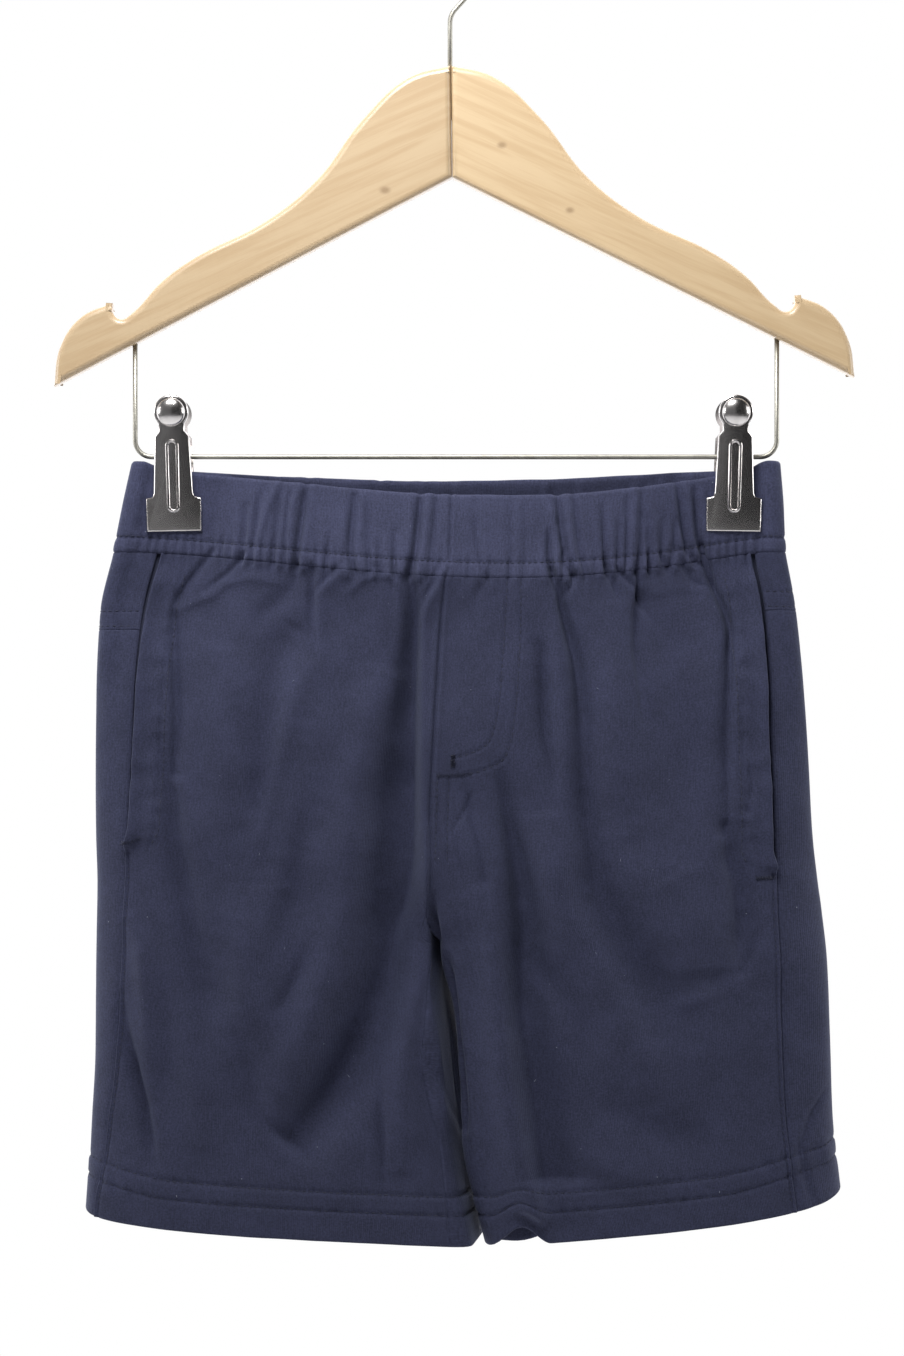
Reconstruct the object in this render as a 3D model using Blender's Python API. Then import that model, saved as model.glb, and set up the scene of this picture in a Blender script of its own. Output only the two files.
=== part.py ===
"""Child's pull-on jersey shorts, clipped by the waistband to a wooden hanger with a wire bar.

Metres, +Z up, the front of the shorts faces -Y, and the origin is the inside top of the hook, where a
rail carries the hanger. Left and right are the wearer's, so the wearer's left is +X.

Every cloth piece is a grid laid on one garment form and extruded inwards along the form's own normals,
so that neighbours keep their gap at a seam right through the cloth. The form is a loop in plan for each
half of the shorts at each height: a half loop from the centre front seam round the side to the centre
back seam above the crotch, and a closed leg below it.
"""

import math
from collections import namedtuple

import bmesh
import bpy
from mathutils import Vector

MM = 0.001

# ---------------------------------------------------------------- driving dimensions, in millimetres
WAIST_SEAM_Z = -282.0  # height of the waist seam at the side seams
LENGTH = 283.0  # waist seam to hem, the measure down which the levels below are placed
BAND_HEIGHT = 35.0  # waistband casing, top edge to waist seam
CLOTH = 1.5  # jersey, with the turnings that stiffen it
BAND_CLOTH = 2.6  # two layers of jersey with elastic between them
POCKETING = 1.2
SEAM_GAP = 0.3
SKIM_GAP = 0.4  # between a piece and the panel that it lies on

# How the waist sags between the clips: its depth at the lowest point, that point's X, how far it reaches
# from there, and the power of its curve, where 1.3 is fuller than 2.
Sag = namedtuple("Sag", "depth x reach power")
FRONT_SAG = {"right": Sag(11.2, 25.0, 160.0, 1.8), "left": Sag(11.2, 25.0, 108.0, 1.3)}
BACK_SAG = Sag(3.5, 0.0, 135.0, 2.0)
FACE_BLEND = 3.0  # half the depth over which the front's sag turns into the back's
LOOP_RISE = 3.9  # how far the waistband stands up beyond the clips
LOOP_RISE_AT = (126.0, 138.0)  # distance from the middle over which it comes up
BAND_TAPER = {"right": 8.2, "left": 2.6}  # how far each end of the waistband leans in at its top
BAND_TAPER_AT = (96.0, 143.0)

LENS_POWER = 2.3  # 2 is an ellipse in plan, more is boxier
INNER_POWER = 3.0  # the same for the inner side of a half
SETTLE = 0.27  # share of the length in which the pinch of the clips opens out

# One row for each level of a half, in millimetres. down: below the waist seam. outer: X of the
# silhouette. seam: X of the side seam, which sits on the front face. inner: X of the centre seam, and
# below the crotch of the leg's inner silhouette. roll: how far the inseam has rolled onto the front
# face from there. skew: how far the inner side leans from front to back. front, back: half depths.
# front_reach, back_reach: how far the inner side closes past the deepest line, 0 where the halves are
# joined at their full depth and 1 from the crotch point on, where the leg is a closed loop.
Level = namedtuple("Level", "down outer seam inner roll skew front back front_reach back_reach")
RIGHT_LEVELS = [
    Level(0, -143.0, -124.5, -1.9, 0.0, 0.00, 19, 19, 0.00, 0.00),
    Level(25, -148.6, -130.5, -3.0, 0.0, 0.00, 21, 21, 0.00, 0.00),
    Level(60, -150.3, -133.7, -5.0, 0.0, 0.00, 23, 24, 0.00, 0.00),
    Level(95, -150.6, -135.2, -7.0, 0.0, 0.00, 24, 26, 0.00, 0.10),
    Level(120, -150.4, -136.2, -8.2, 0.0, 0.00, 25, 27, 0.22, 0.40),
    Level(142, -149.8, -137.0, -8.2, 0.0, 0.10, 25, 27, 0.70, 0.80),
    Level(156, -150.0, -137.4, -6.3, 1.9, 0.20, 25, 27, 1.00, 1.00),
    Level(180, -150.4, -138.2, -1.7, 7.8, 0.24, 25, 27, 1.00, 1.00),
    Level(212, -150.6, -140.4, 3.4, 14.8, 0.32, 26, 27, 1.00, 1.00),
    Level(245, -152.9, -144.5, 6.8, 10.8, 0.28, 26, 27, 1.00, 1.00),
    Level(283, -155.2, -148.7, 11.6, 11.8, 0.12, 27, 27, 1.00, 1.00),
]
LEFT_LEVELS = [
    Level(0, 142.6, 129.5, -1.9, 0.0, 0.00, 19, 19, 0.00, 0.00),
    Level(25, 147.0, 133.6, -3.0, 0.0, 0.00, 21, 21, 0.00, 0.00),
    Level(60, 150.4, 135.4, -5.0, 0.0, 0.00, 23, 24, 0.00, 0.00),
    Level(95, 152.6, 136.2, -7.0, 0.0, 0.00, 24, 26, 0.00, 0.10),
    Level(120, 153.8, 136.8, -8.2, 0.0, 0.00, 25, 27, 0.22, 0.40),
    Level(142, 156.0, 137.3, -8.2, 0.0, 0.10, 25, 27, 0.70, 0.80),
    Level(156, 157.8, 137.6, -5.3, 0.0, 0.20, 25, 27, 1.00, 1.00),
    Level(180, 160.2, 138.2, -0.6, 0.0, 0.24, 25, 27, 1.00, 1.00),
    Level(212, 161.4, 139.2, 4.5, 0.0, 0.32, 26, 27, 1.00, 1.00),
    Level(245, 163.2, 141.0, 8.0, 0.0, 0.28, 27, 27, 1.00, 1.00),
    Level(283, 167.0, 145.0, 16.6, 0.0, 0.12, 28, 27, 1.00, 1.00),
]

# Plan of the waist: the half opening at a share of the way from the centre to the silhouette.
Gap = namedtuple("Gap", "across opening")
WAIST_PLAN = [
    Gap(0.00, 19.0),
    Gap(0.30, 17.5),
    Gap(0.55, 11.5),
    Gap(0.68, 4.6),
    Gap(0.74, 2.9),
    Gap(0.93, 2.9),
    Gap(0.965, 5.6),
    Gap(1.00, 6.4),
]
LOOP_ROUNDING = 26.0  # how sharply the waist closes at its two ends

# Largest folds, as lines on a face seen from the front, in millimetres. depth is how far the cloth goes
# in, so a ridge has a negative depth. top and bottom are how much of it is left at the line's ends.
Fold = namedtuple("Fold", "x0 z0 x1 z1 width depth top bottom")
FRONT_FOLDS = [
    Fold(-17, -296, -20, -400, 7.5, 6.5, 0.6, 1.0),
    Fold(-20, -400, -24, -470, 10.0, 6.0, 1.0, 0.0),
    Fold(-94, -290, -117, -314, 4.5, 3.4, 0.5, 1.0),
    Fold(-117, -314, -119, -375, 4.5, 4.2, 1.0, 0.8),
    Fold(-119, -375, -102, -450, 7.0, 3.8, 0.8, 0.0),
    Fold(43, -330, 46, -380, 7.0, 4.0, 0.2, 1.0),
    Fold(46, -380, 34, -470, 12.0, 3.6, 1.0, 0.2),
    Fold(112, -290, 122, -314, 4.5, 3.2, 0.5, 1.0),
    Fold(122, -314, 125, -400, 5.5, 3.0, 1.0, 0.2),
    Fold(60, -300, 66, -345, 6.0, 2.2, 0.7, 0.0),
    Fold(16, -440, 32, -555, 8.0, -3.4, 0.3, 1.0),
    Fold(-137, -490, -127, -545, 5.0, 2.6, 0.3, 0.6),
    Fold(150, -480, 149, -535, 4.0, 2.4, 0.5, 0.5),
]
BACK_FOLDS = [
    Fold(-30, -300, -36, -400, 8.0, 4.4, 0.6, 0.5),
    Fold(28, -298, 30, -420, 8.0, 4.6, 0.6, 0.4),
    Fold(-96, -296, -88, -390, 7.0, 3.6, 0.7, 0.1),
    Fold(92, -296, 104, -400, 7.0, 3.8, 0.7, 0.1),
    Fold(-58, -430, -66, -545, 12.0, 3.4, 0.2, 0.7),
    Fold(64, -420, 80, -545, 12.0, 3.4, 0.2, 0.7),
]

FOLD_FADE = 7.0  # along the cloth, at the silhouettes and the inner seam
FOLD_END = 9.0  # beyond each end of a fold's line
FOLD_START = 0.04  # share of the length in which folds grow below the waist seam

HEM_DROP = {"right": (13.0, 0.85), "left": (17.5, 0.92)}  # depth and power of the hem's curve
HEM_SIDE_Z = {"right": -562.5, "left": -556.0}

# Back yokes: how far the yoke seam lies below the waist seam.
YOKE_AT_SIDE = {"right": 33.0, "left": 25.0}
YOKE_AT_CENTRE = 50.0

# Pocket mouths in the side seams, and the bags behind the fronts, which take up part of a front's grid.
POCKET_MOUTH = {"right": 127.0, "left": 138.0}  # lower end, below the waist seam
MOUTH_GAP = 2.2
MOUTH_CLOSE = 12.0  # length over which the mouth closes at its lower end
BAG_COLUMNS, BAG_ROWS = 9, 10

# Facets across and down each piece.
FRONT_COLUMNS, FRONT_ROWS = 22, 18
BACK_COLUMNS, BACK_ROWS = 20, 15
YOKE_COLUMNS, YOKE_ROWS = 18, 3
BAND_COLUMNS = {"front": 92, "back": 64}
BAND_ROWS = 2

BAND_PROUD = 0.3  # the waistband stands a little off the panels below it
PLEAT_DEPTH = 0.75
PLEAT_PITCH = {"front": 11.5, "back": 14.0}
PLEAT_CLEAR = (12.0, 22.0)  # distance from a clip's middle over which the gathers start
PLEAT_END = (134.0, 141.0)  # distance from the middle over which they die out
PLEAT_SWELL = 23.0  # the gathers grow and shrink over this length
Drift = namedtuple("Drift", "amount length start")
PLEAT_DRIFT = [Drift(0.45, 17.0, 0.0), Drift(0.3, 7.3, 1.0)]  # how the pitch wanders

# ---------------------------------------------------------------- hanger, in millimetres
WIRE = 2.1
HOOK_RADIUS = 22.0  # of the wire's centreline
HOOK_LEAN = 52.0  # angle of the straight below the bow, in degrees
HOOK_END = 205.0  # where the bow ends, in degrees from +X
HOOK_TIP = 3.0  # the bow's end runs on this far
HOOK_FLICK = 0.9  # and turns out by this
STEM_TOP_Z = -57.0
STEM_BEND = 9.0
STEM_END_Z = -98.0

WOOD_THICK = 12.0
WOOD_ROUND = 2.2
APEX = (0.9, -122.9)  # X and Z of the notch below the joint of the two arms
ARM_TILT = 0.65  # the hanger hangs a little higher on the wearer's left, in degrees
JOINT_GAP = 0.3
BORE_GAP = 0.35
STEM_BORE_TOP = -60.0

# Outline of an arm, out from the joint and down from the apex. smooth is False at a corner.
Outline = namedtuple("Outline", "out down smooth")
ARM_OUTLINE = [
    Outline(0.0, -47.3, False),
    Outline(18.1, -42.3, True),
    Outline(37.5, -25.1, True),
    Outline(57.3, 0.4, True),
    Outline(78.8, 17.5, True),
    Outline(110.0, 33.2, True),
    Outline(123.8, 43.0, True),
    Outline(136.3, 56.0, True),
    Outline(141.0, 58.6, True),
    Outline(144.4, 56.0, True),
    Outline(144.6, 51.6, False),
    Outline(158.5, 57.9, True),
    Outline(167.2, 70.5, True),
    Outline(169.8, 86.7, False),
    Outline(0.0, 0.0, False),
]

BAR_Z = -241.3
BAR_ENDS = (-133.8, 138.9)
BAR_TOP_Z = -186.0
BAR_BEND = 7.0

# Clips: X of the jaw's middle, and the lean of the clip seen from the front, in degrees.
Clip = namedtuple("Clip", "side x lean")
CLIPS = [Clip("right", -116.8, 1.2), Clip("left", 120.2, -0.8)]
JAW_Z = -273.3
JAW_Y = 3.6  # from the middle plane to the jaw's gripping face
SPLAY = 7.0  # how far the plates open above the jaws, in degrees
PLATE_THICK = 1.0
JAW_HALF = 11.8
JAW_HEIGHT = 14.4
NECK_HALF_LOW = 8.4
NECK_HALF_HIGH = 7.3
SHOULDER_Z = 40.6
SHOULDER_SLOPE = (0.6, 2.2)  # run in and run up of the two short shoulders
THROAT_HALF = 5.5
HEAD_Z = 50.8
HEAD_RADIUS = 7.4
DOME_RADIUS = 6.3
DOME_HEIGHT = 3.4
DOME_SINK = 0.6  # of the plate's thickness
BEAD_HALF = 2.1
BEAD_Z = (11.0, 36.6)
BEAD_RADIUS = 0.75
EAR_X = {"front": 5.4, "back": 4.1}
EAR_THICK = 0.9
EAR_HALF = 2.8
EAR_PAST_BAR = 2.6
BAR_ROD_PAST = 9.0  # the rod that clears the bar out of the clips ends this far past the bar
SPRING_RADIUS = 2.9
SPRING_HALF = 3.0

# ---------------------------------------------------------------- colours of the finishes
NAVY = (0.028, 0.032, 0.075)
NAVY_INSIDE = (0.035, 0.040, 0.085)
WOOD = (0.62, 0.41, 0.22)
STEEL = (0.42, 0.42, 0.38)
PLATE_STEEL = (0.10, 0.09, 0.09)


# ---------------------------------------------------------------- general helpers
def clear_scene():
    for obj in list(bpy.data.objects):
        bpy.data.objects.remove(obj)


def new_collection(name):
    collection = bpy.data.collections.new(name)
    bpy.context.scene.collection.children.link(collection)
    return collection


def new_material(name, colour, roughness, metallic=0.0):
    material = bpy.data.materials.new(name)
    material.use_nodes = True
    shader = material.node_tree.nodes["Principled BSDF"]
    shader.inputs["Base Color"].default_value = (*colour, 1.0)
    shader.inputs["Roughness"].default_value = roughness
    shader.inputs["Metallic"].default_value = metallic
    return material


def smoothstep(low, high, value):
    t = min(1.0, max(0.0, (value - low) / (high - low)))
    return t * t * (3.0 - 2.0 * t)


def smooth_table(rows, key, value, at):
    """Value of a column at a place in another, on a smooth curve that never overshoots its rows."""
    xs = [getattr(row, key) for row in rows]
    ys = [getattr(row, value) for row in rows]
    if at <= xs[0]:
        return ys[0]
    if at >= xs[-1]:
        return ys[-1]
    i = max(k for k in range(len(xs) - 1) if xs[k] <= at)
    slopes = [(ys[k + 1] - ys[k]) / (xs[k + 1] - xs[k]) for k in range(len(xs) - 1)]

    def tangent(k):
        if k == 0 or k == len(xs) - 1:
            return slopes[min(k, len(slopes) - 1)]
        before, after = slopes[k - 1], slopes[k]
        return 0.0 if before * after <= 0 else 2.0 * before * after / (before + after)

    span = xs[i + 1] - xs[i]
    t = (at - xs[i]) / span
    return (
        (2 * t**3 - 3 * t**2 + 1) * ys[i]
        + (t**3 - 2 * t**2 + t) * span * tangent(i)
        + (3 * t**2 - 2 * t**3) * ys[i + 1]
        + (t**3 - t**2) * span * tangent(i + 1)
    )


# ---------------------------------------------------------------- the garment form
ARC_POINTS = 40
LEVELS = {"right": RIGHT_LEVELS, "left": LEFT_LEVELS}


def level_at(half, share):
    down = share * LENGTH
    return Level(down, *(smooth_table(LEVELS[half], "down", f, down) for f in Level._fields[1:]))


def waist_dip(x, face):
    """How far the waist seam sags at x."""
    sag = BACK_SAG
    if face == "front":
        sag = FRONT_SAG["left" if x > FRONT_SAG["left"].x else "right"]
    away = min(1.0, abs(x - sag.x) / sag.reach)
    return sag.depth * (1.0 - away**2) ** sag.power


def seam_z(x, y):
    """Height of the waist seam: it sags more in front than behind."""
    to_front = 1.0 - smoothstep(-FACE_BLEND, FACE_BLEND, y)
    return WAIST_SEAM_Z - waist_dip(x, "front") * to_front - waist_dip(x, "back") * (1.0 - to_front)


def hem_z(half, x):
    low = LEVELS[half][-1]
    across = min(1.0, max(0.0, (low.outer - x) / (low.outer - low.inner)))
    drop, power = HEM_DROP[half]
    return HEM_SIDE_Z[half] - drop * across**power


def fold_depth(folds, x, z):
    """How far the cloth goes in at a point of a face, from all its folds together."""
    total = 0.0
    for fold in folds:
        run = Vector((fold.x1 - fold.x0, fold.z1 - fold.z0))
        to = Vector((x - fold.x0, z - fold.z0))
        t = to.dot(run) / run.length_squared
        off = abs(to.cross(run)) / run.length
        beyond = max(0.0, -t, t - 1.0) * run.length
        held = fold.top + (fold.bottom - fold.top) * min(1.0, max(0.0, t))
        total += fold.depth * held * math.exp(-((off / fold.width) ** 2) - (beyond / FOLD_END) ** 2)
    return total


def arc(level, share, face):
    """Plan points of one face of a half, from its inner side out to the silhouette."""
    reach = level.front_reach if face == "front" else level.back_reach
    depth = level.front if face == "front" else level.back
    sign = -1.0 if face == "front" else 1.0
    half_width = (level.outer - level.inner) / (1.0 + reach)
    middle = level.outer - half_width
    open_out = smoothstep(0.0, SETTLE, share)
    start = math.acos(-reach)
    points = []
    for i in range(ARC_POINTS + 1):
        across = math.cos(start * (1.0 - i / ARC_POINTS))
        power = LENS_POWER if across > 0.0 else INNER_POWER
        lens = (1.0 - min(1.0, abs(across)) ** power) ** (1.0 / power)
        y = depth * lens * open_out
        if open_out < 1.0:
            opening = smooth_table(WAIST_PLAN, "across", "opening", across)
            y += opening * (1.0 - across**LOOP_ROUNDING) ** 0.5 * (1.0 - open_out)
        x = middle + half_width * across
        x += level.skew * sign * y * ((1.0 - across) / 2.0) ** 2
        points.append(Vector((x, sign * y)))
    return points


def loop(half, share):
    """Plan points of a half from its inner side in front, round the silhouette, to its inner side behind."""
    level = level_at(half, share)
    front = arc(level, share, "front")
    back = arc(level, share, "back")
    return front + back[-2::-1]


def lengths(points):
    run = [0.0]
    for a, b in zip(points, points[1:]):
        run.append(run[-1] + (b - a).length)
    return run


def direction(points, i):
    """Direction of a loop at one of its points. A leg's loop is closed, so its ends share one."""
    last = len(points) - 1
    closed = (points[0] - points[last]).length < 0.5
    if closed and i in (0, last):
        return (points[1] - points[last - 1]).normalized()
    return (points[min(last, i + 1)] - points[max(0, i - 1)]).normalized()


def place_on(points, run, at):
    """Point and outward normal of a loop at a length along it, which may go round again."""
    at = at - run[-1] if at > run[-1] else at
    i = 0
    while i < len(run) - 2 and run[i + 1] < at:
        i += 1
    step = run[i + 1] - run[i]
    t = (at - run[i]) / step if step > 0 else 0.0
    along = direction(points, i).lerp(direction(points, i + 1), t).normalized()
    return points[i].lerp(points[i + 1], t), Vector((along.y, -along.x))


def seam_length(half, share, points, run):
    """Length along the loop at which the side seam lies."""
    seam = level_at(half, share).seam
    return length_at_x(half, seam, points, run)


def length_at_x(half, x, points, run):
    """Length along the front face at which it has come out to x."""
    outward = 1.0 if half == "left" else -1.0
    for i in range(ARC_POINTS):
        if (points[i + 1].x - x) * outward >= 0:
            step = points[i + 1].x - points[i].x
            t = (x - points[i].x) / step if abs(step) > 1e-6 else 0.0
            return run[i] + max(0.0, t) * (run[i + 1] - run[i])
    return run[ARC_POINTS]


def inseam_length(half, share, points, run):
    """Length along the loop at which the inseam lies, once it has rolled onto the front face."""
    roll = level_at(half, share).roll
    if roll < 0.01:
        return 0.0
    outward = 1.0 if half == "left" else -1.0
    inner = min(points[: ARC_POINTS], key=lambda point: point.x * outward).x
    return length_at_x(half, inner + roll * outward, points, run)


def garment_point(half, face, across, share, out=0.0, short=0.0):
    """Point on the outside of the shorts.

    face "front" runs from the centre seam or inseam, across 0, to the side seam, across 1. face "back"
    runs from the side seam, across 0, round the side to the centre back seam or inseam, across 1. share
    is 0 at the waist seam and 1 at the hem. out moves the point off the cloth, and short moves it back
    along the cloth, towards the centre.
    """
    points = loop(half, share)
    run = lengths(points)
    seam = seam_length(half, share, points, run)
    inseam = inseam_length(half, share, points, run)
    edge = SEAM_GAP / 2.0
    if face == "front":
        first, last = inseam + edge, seam - edge
    else:
        first, last = seam + edge, run[-1] + inseam - edge
    at = first + (last - first) * across - short
    plan, normal = place_on(points, run, at)
    if half == "right":
        normal = -normal
    z = height_of(half, plan, share)
    folds = FRONT_FOLDS if plan.y < 0 else BACK_FOLDS
    depth = fold_depth(folds, plan.x, z) * smoothstep(0.0, FOLD_START, share)
    depth *= fold_hold(at, run, inseam if face == "front" else run[-1] + inseam)
    plan = plan + normal * (out - depth)
    return Vector((plan.x, plan.y, z)) * MM


def fold_hold(at, run, seam):
    """Folds fade out at the two silhouettes and at the inner seam, where two pieces meet."""
    sides = (abs(at - run[ARC_POINTS]), abs(at), abs(at - run[-1]), abs(at - seam))
    return smoothstep(0.0, FOLD_FADE, min(sides))


def mouth_gap(half, share):
    """How far the front's edge stands back from the side seam along the pocket mouth."""
    end = POCKET_MOUTH[half]
    return MOUTH_GAP * (1.0 - smoothstep(end - MOUTH_CLOSE, end, share * LENGTH))


def height_of(half, plan, share):
    top = seam_z(plan.x, plan.y) - SEAM_GAP / 2.0
    return top + (hem_z(half, plan.x) - top) * share


# ---------------------------------------------------------------- cloth pieces
def cloth_piece(name, columns, rows, thickness, surface, material, collection):
    """A grid laid on surface(u, v, out) and extruded inwards to a second layer of the same surface.

    u and v run from 0 to 1, and out is the height above the piece's outside.
    """
    mesh = bpy.data.meshes.new(name)
    bm = bmesh.new()
    bmesh.ops.create_grid(bm, x_segments=columns, y_segments=rows, size=0.5)
    places = {vert: (vert.co.x + 0.5, vert.co.y + 0.5) for vert in bm.verts}
    outside = list(bm.verts)
    made = bmesh.ops.extrude_face_region(bm, geom=bm.faces[:] + bm.edges[:] + bm.verts[:])
    copies = [item for item in made["geom"] if isinstance(item, bmesh.types.BMVert)]
    near = {(round(v.co.x, 5), round(v.co.y, 5)): v for v in copies}
    for vert in outside:
        u, v = places[vert]
        twin = near[(round(vert.co.x, 5), round(vert.co.y, 5))]
        vert.co = surface(u, v, -thickness)
        twin.co = surface(u, v, 0.0)
    bmesh.ops.recalc_face_normals(bm, faces=bm.faces)
    bm.to_mesh(mesh)
    bm.free()
    mesh.materials.append(material)
    mesh.shade_smooth()
    mesh.set_sharp_from_angle(angle=math.radians(60.0))
    obj = bpy.data.objects.new(name, mesh)
    collection.objects.link(obj)
    return obj


def front_panel(half, material, collection):
    def surface(u, v, out):
        short = mouth_gap(half, 1.0 - v) if u > 1.0 - 0.5 / FRONT_COLUMNS else 0.0
        return garment_point(half, "front", u, 1.0 - v, out, short)

    return cloth_piece(f"front_{half}", FRONT_COLUMNS, FRONT_ROWS, CLOTH, surface, material, collection)


def yoke_share(half, across):
    side, centre = YOKE_AT_SIDE[half], YOKE_AT_CENTRE
    return (side + (centre - side) * smoothstep(0.0, 1.0, across)) / LENGTH


def yoke(half, material, collection):
    edge = SEAM_GAP / 2.0 / LENGTH

    def surface(u, v, out):
        return garment_point(half, "back", u, (yoke_share(half, u) - edge) * (1.0 - v), out)

    return cloth_piece(f"yoke_{half}", YOKE_COLUMNS, YOKE_ROWS, CLOTH, surface, material, collection)


def back_panel(half, material, collection):
    """Below its top row, at the yoke, the rows are the front's, so that both follow one seam line."""
    edge = SEAM_GAP / 2.0 / LENGTH

    def surface(u, v, out):
        row = round((1.0 - v) * BACK_ROWS)
        share = (FRONT_ROWS - BACK_ROWS + row) / FRONT_ROWS if row else yoke_share(half, u) + edge
        return garment_point(half, "back", u, share, out)

    return cloth_piece(f"back_{half}", BACK_COLUMNS, BACK_ROWS, CLOTH, surface, material, collection)


def pleat(x, pitch):
    """Uneven gathers of the elastic, flat under the clips and at the ends of the waistband."""
    held = 1.0 - smoothstep(*PLEAT_END, abs(x))
    for clip in CLIPS:
        held *= smoothstep(*PLEAT_CLEAR, abs(x - clip.x))
    phase = x / pitch + sum(d.amount * math.sin(x / d.length + d.start) for d in PLEAT_DRIFT)
    swell = 0.6 + 0.4 * math.sin(x / PLEAT_SWELL)
    return PLEAT_DEPTH * held * swell * math.cos(2.0 * math.pi * phase)


def waist_loop():
    """Closed plan of the waist, from the wearer's right end along the front and back behind."""
    right, left = loop("right", 0.0), loop("left", 0.0)
    return right[ARC_POINTS::-1] + left[1:] + right[-2 : ARC_POINTS - 1 : -1]


def band_point(face, across, up, out):
    """Point above the outside of the waistband. The front runs from its right end, the back from its left."""
    points = waist_loop()
    run = lengths(points)
    turn = run[2 * ARC_POINTS]
    edge = SEAM_GAP / 2.0
    first, last = (edge, turn - edge) if face == "front" else (turn + edge, run[-1] - edge)
    plan, normal = place_on(points, run, first + (last - first) * across)
    low = seam_z(plan.x, plan.y) + edge
    proud = BAND_PROUD + pleat(plan.x, PLEAT_PITCH[face])
    plan = plan + normal * (proud + out)
    rise = LOOP_RISE * smoothstep(*LOOP_RISE_AT, abs(plan.x))
    taper = -BAND_TAPER["left"] if plan.x > 0 else BAND_TAPER["right"]
    lean = taper * up * smoothstep(*BAND_TAPER_AT, abs(plan.x))
    return Vector((plan.x + lean, plan.y, low + (BAND_HEIGHT + rise) * up)) * MM


def waistband(face, material, collection):
    def surface(u, v, out):
        return band_point(face, u, v, out)

    name = f"waistband_{face}"
    return cloth_piece(name, BAND_COLUMNS[face], BAND_ROWS, BAND_CLOTH, surface, material, collection)


def pocket_bag(half, material, collection):
    """The bag behind a front, which shows in the pocket mouth. It is the panel's own grid, moved in."""

    def surface(u, v, out):
        across = 1.0 - (1.0 - u) * BAG_COLUMNS / FRONT_COLUMNS
        share = (1.0 - v) * BAG_ROWS / FRONT_ROWS
        return garment_point(half, "front", across, share, out - CLOTH - SKIM_GAP)

    return cloth_piece(f"pocket_{half}", BAG_COLUMNS, BAG_ROWS, POCKETING, surface, material, collection)


# ---------------------------------------------------------------- hard pieces
def link_solid(obj, material, collection):
    collection.objects.link(obj)
    obj.data.materials.clear()
    obj.data.materials.append(material)
    return obj


def mesh_from_curve(obj):
    """The curve's evaluated mesh, with its caps welded, on a new object at the same place."""
    bpy.context.view_layer.update()
    graph = bpy.context.evaluated_depsgraph_get()
    mesh = bpy.data.meshes.new_from_object(obj.evaluated_get(graph))
    bm = bmesh.new()
    bm.from_mesh(mesh)
    bmesh.ops.remove_doubles(bm, verts=bm.verts, dist=0.00002)
    bmesh.ops.recalc_face_normals(bm, faces=bm.faces)
    bm.to_mesh(mesh)
    bm.free()
    made = bpy.data.objects.new(obj.name, mesh)
    made.matrix_world = obj.matrix_world
    name = obj.name
    bpy.data.objects.remove(obj)
    made.name = name
    return made


def wire(name, points, radius, material, collection, cyclic=False):
    """A round wire along points, as a curve with filled caps, or closed on itself."""
    curve = bpy.data.curves.new(name, "CURVE")
    curve.dimensions = "3D"
    curve.bevel_depth = radius * MM
    curve.bevel_resolution = 1 if cyclic else 2
    curve.use_fill_caps = not cyclic
    spline = curve.splines.new("POLY")
    spline.points.add(len(points) - 1)
    spline.use_cyclic_u = cyclic
    for point, place in zip(spline.points, points):
        point.co = (*(Vector(place) * MM), 1.0)
    curve.materials.append(material)
    obj = bpy.data.objects.new(name, curve)
    collection.objects.link(obj)
    return obj


def bend(centre, radius, start, stop, count):
    """Points of an arc in the XZ plane, from start to stop degrees."""
    points = []
    for i in range(count + 1):
        angle = math.radians(start + (stop - start) * i / count)
        points.append((centre[0] + radius * math.cos(angle), 0.0, centre[1] + radius * math.sin(angle)))
    return points


def hook(material, collection):
    """Stem, a slant out to the wearer's left, and a bow back over the rail."""
    bow_centre = (0.0, WIRE / 2.0 - HOOK_RADIUS)
    slant = math.radians(HOOK_LEAN)
    stem_centre = (STEM_BEND, STEM_TOP_Z)
    stem = [(0.0, 0.0, STEM_END_Z), (0.0, 0.0, (STEM_END_Z + STEM_TOP_Z) / 2.0)]
    lower = bend(stem_centre, STEM_BEND, 180.0, 90.0 + HOOK_LEAN, 4)
    bow = bend(bow_centre, HOOK_RADIUS, HOOK_LEAN - 90.0, HOOK_END, 26)
    tip = bow[-1]
    heading = math.radians(HOOK_END + 90.0)
    flick_x = tip[0] + HOOK_TIP * math.cos(heading) - HOOK_FLICK
    flick = (flick_x, 0.0, tip[2] + HOOK_TIP * math.sin(heading))
    return wire("hook", stem + lower + bow + [flick], WIRE / 2.0, material, collection)


def trouser_bar(material, collection):
    """Wire from arm to arm, with a round bend at each end."""
    left, right = BAR_ENDS
    centre_z = BAR_Z + BAR_BEND
    down = bend((left + BAR_BEND, centre_z), BAR_BEND, 180.0, 270.0, 6)
    up = bend((right - BAR_BEND, centre_z), BAR_BEND, 270.0, 360.0, 6)
    points = [(left, 0.0, BAR_TOP_Z), *down, *up, (right, 0.0, BAR_TOP_Z)]
    return wire("trouser_bar", points, WIRE / 2.0, material, collection)


def rod_cutter(name, start, end, radius, cutters):
    """A hidden rod that clears a wire out of what it passes through."""
    start, end = Vector(start), Vector(end)
    bpy.ops.mesh.primitive_cylinder_add(vertices=16, radius=radius * MM, depth=(end - start).length * MM)
    rod = bpy.context.object
    rod.name = name
    rod.location = (start + end) / 2.0 * MM
    rod.rotation_euler = (end - start).to_track_quat("Z", "Y").to_euler()
    for owner in list(rod.users_collection):
        owner.objects.unlink(rod)
    cutters.objects.link(rod)
    rod.hide_render = True
    rod.display_type = "WIRE"
    return rod


def boolean(obj, tool, operation):
    modifier = obj.modifiers.new(tool.name, "BOOLEAN")
    modifier.operation = operation
    modifier.object = tool
    modifier.solver = "EXACT"


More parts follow.
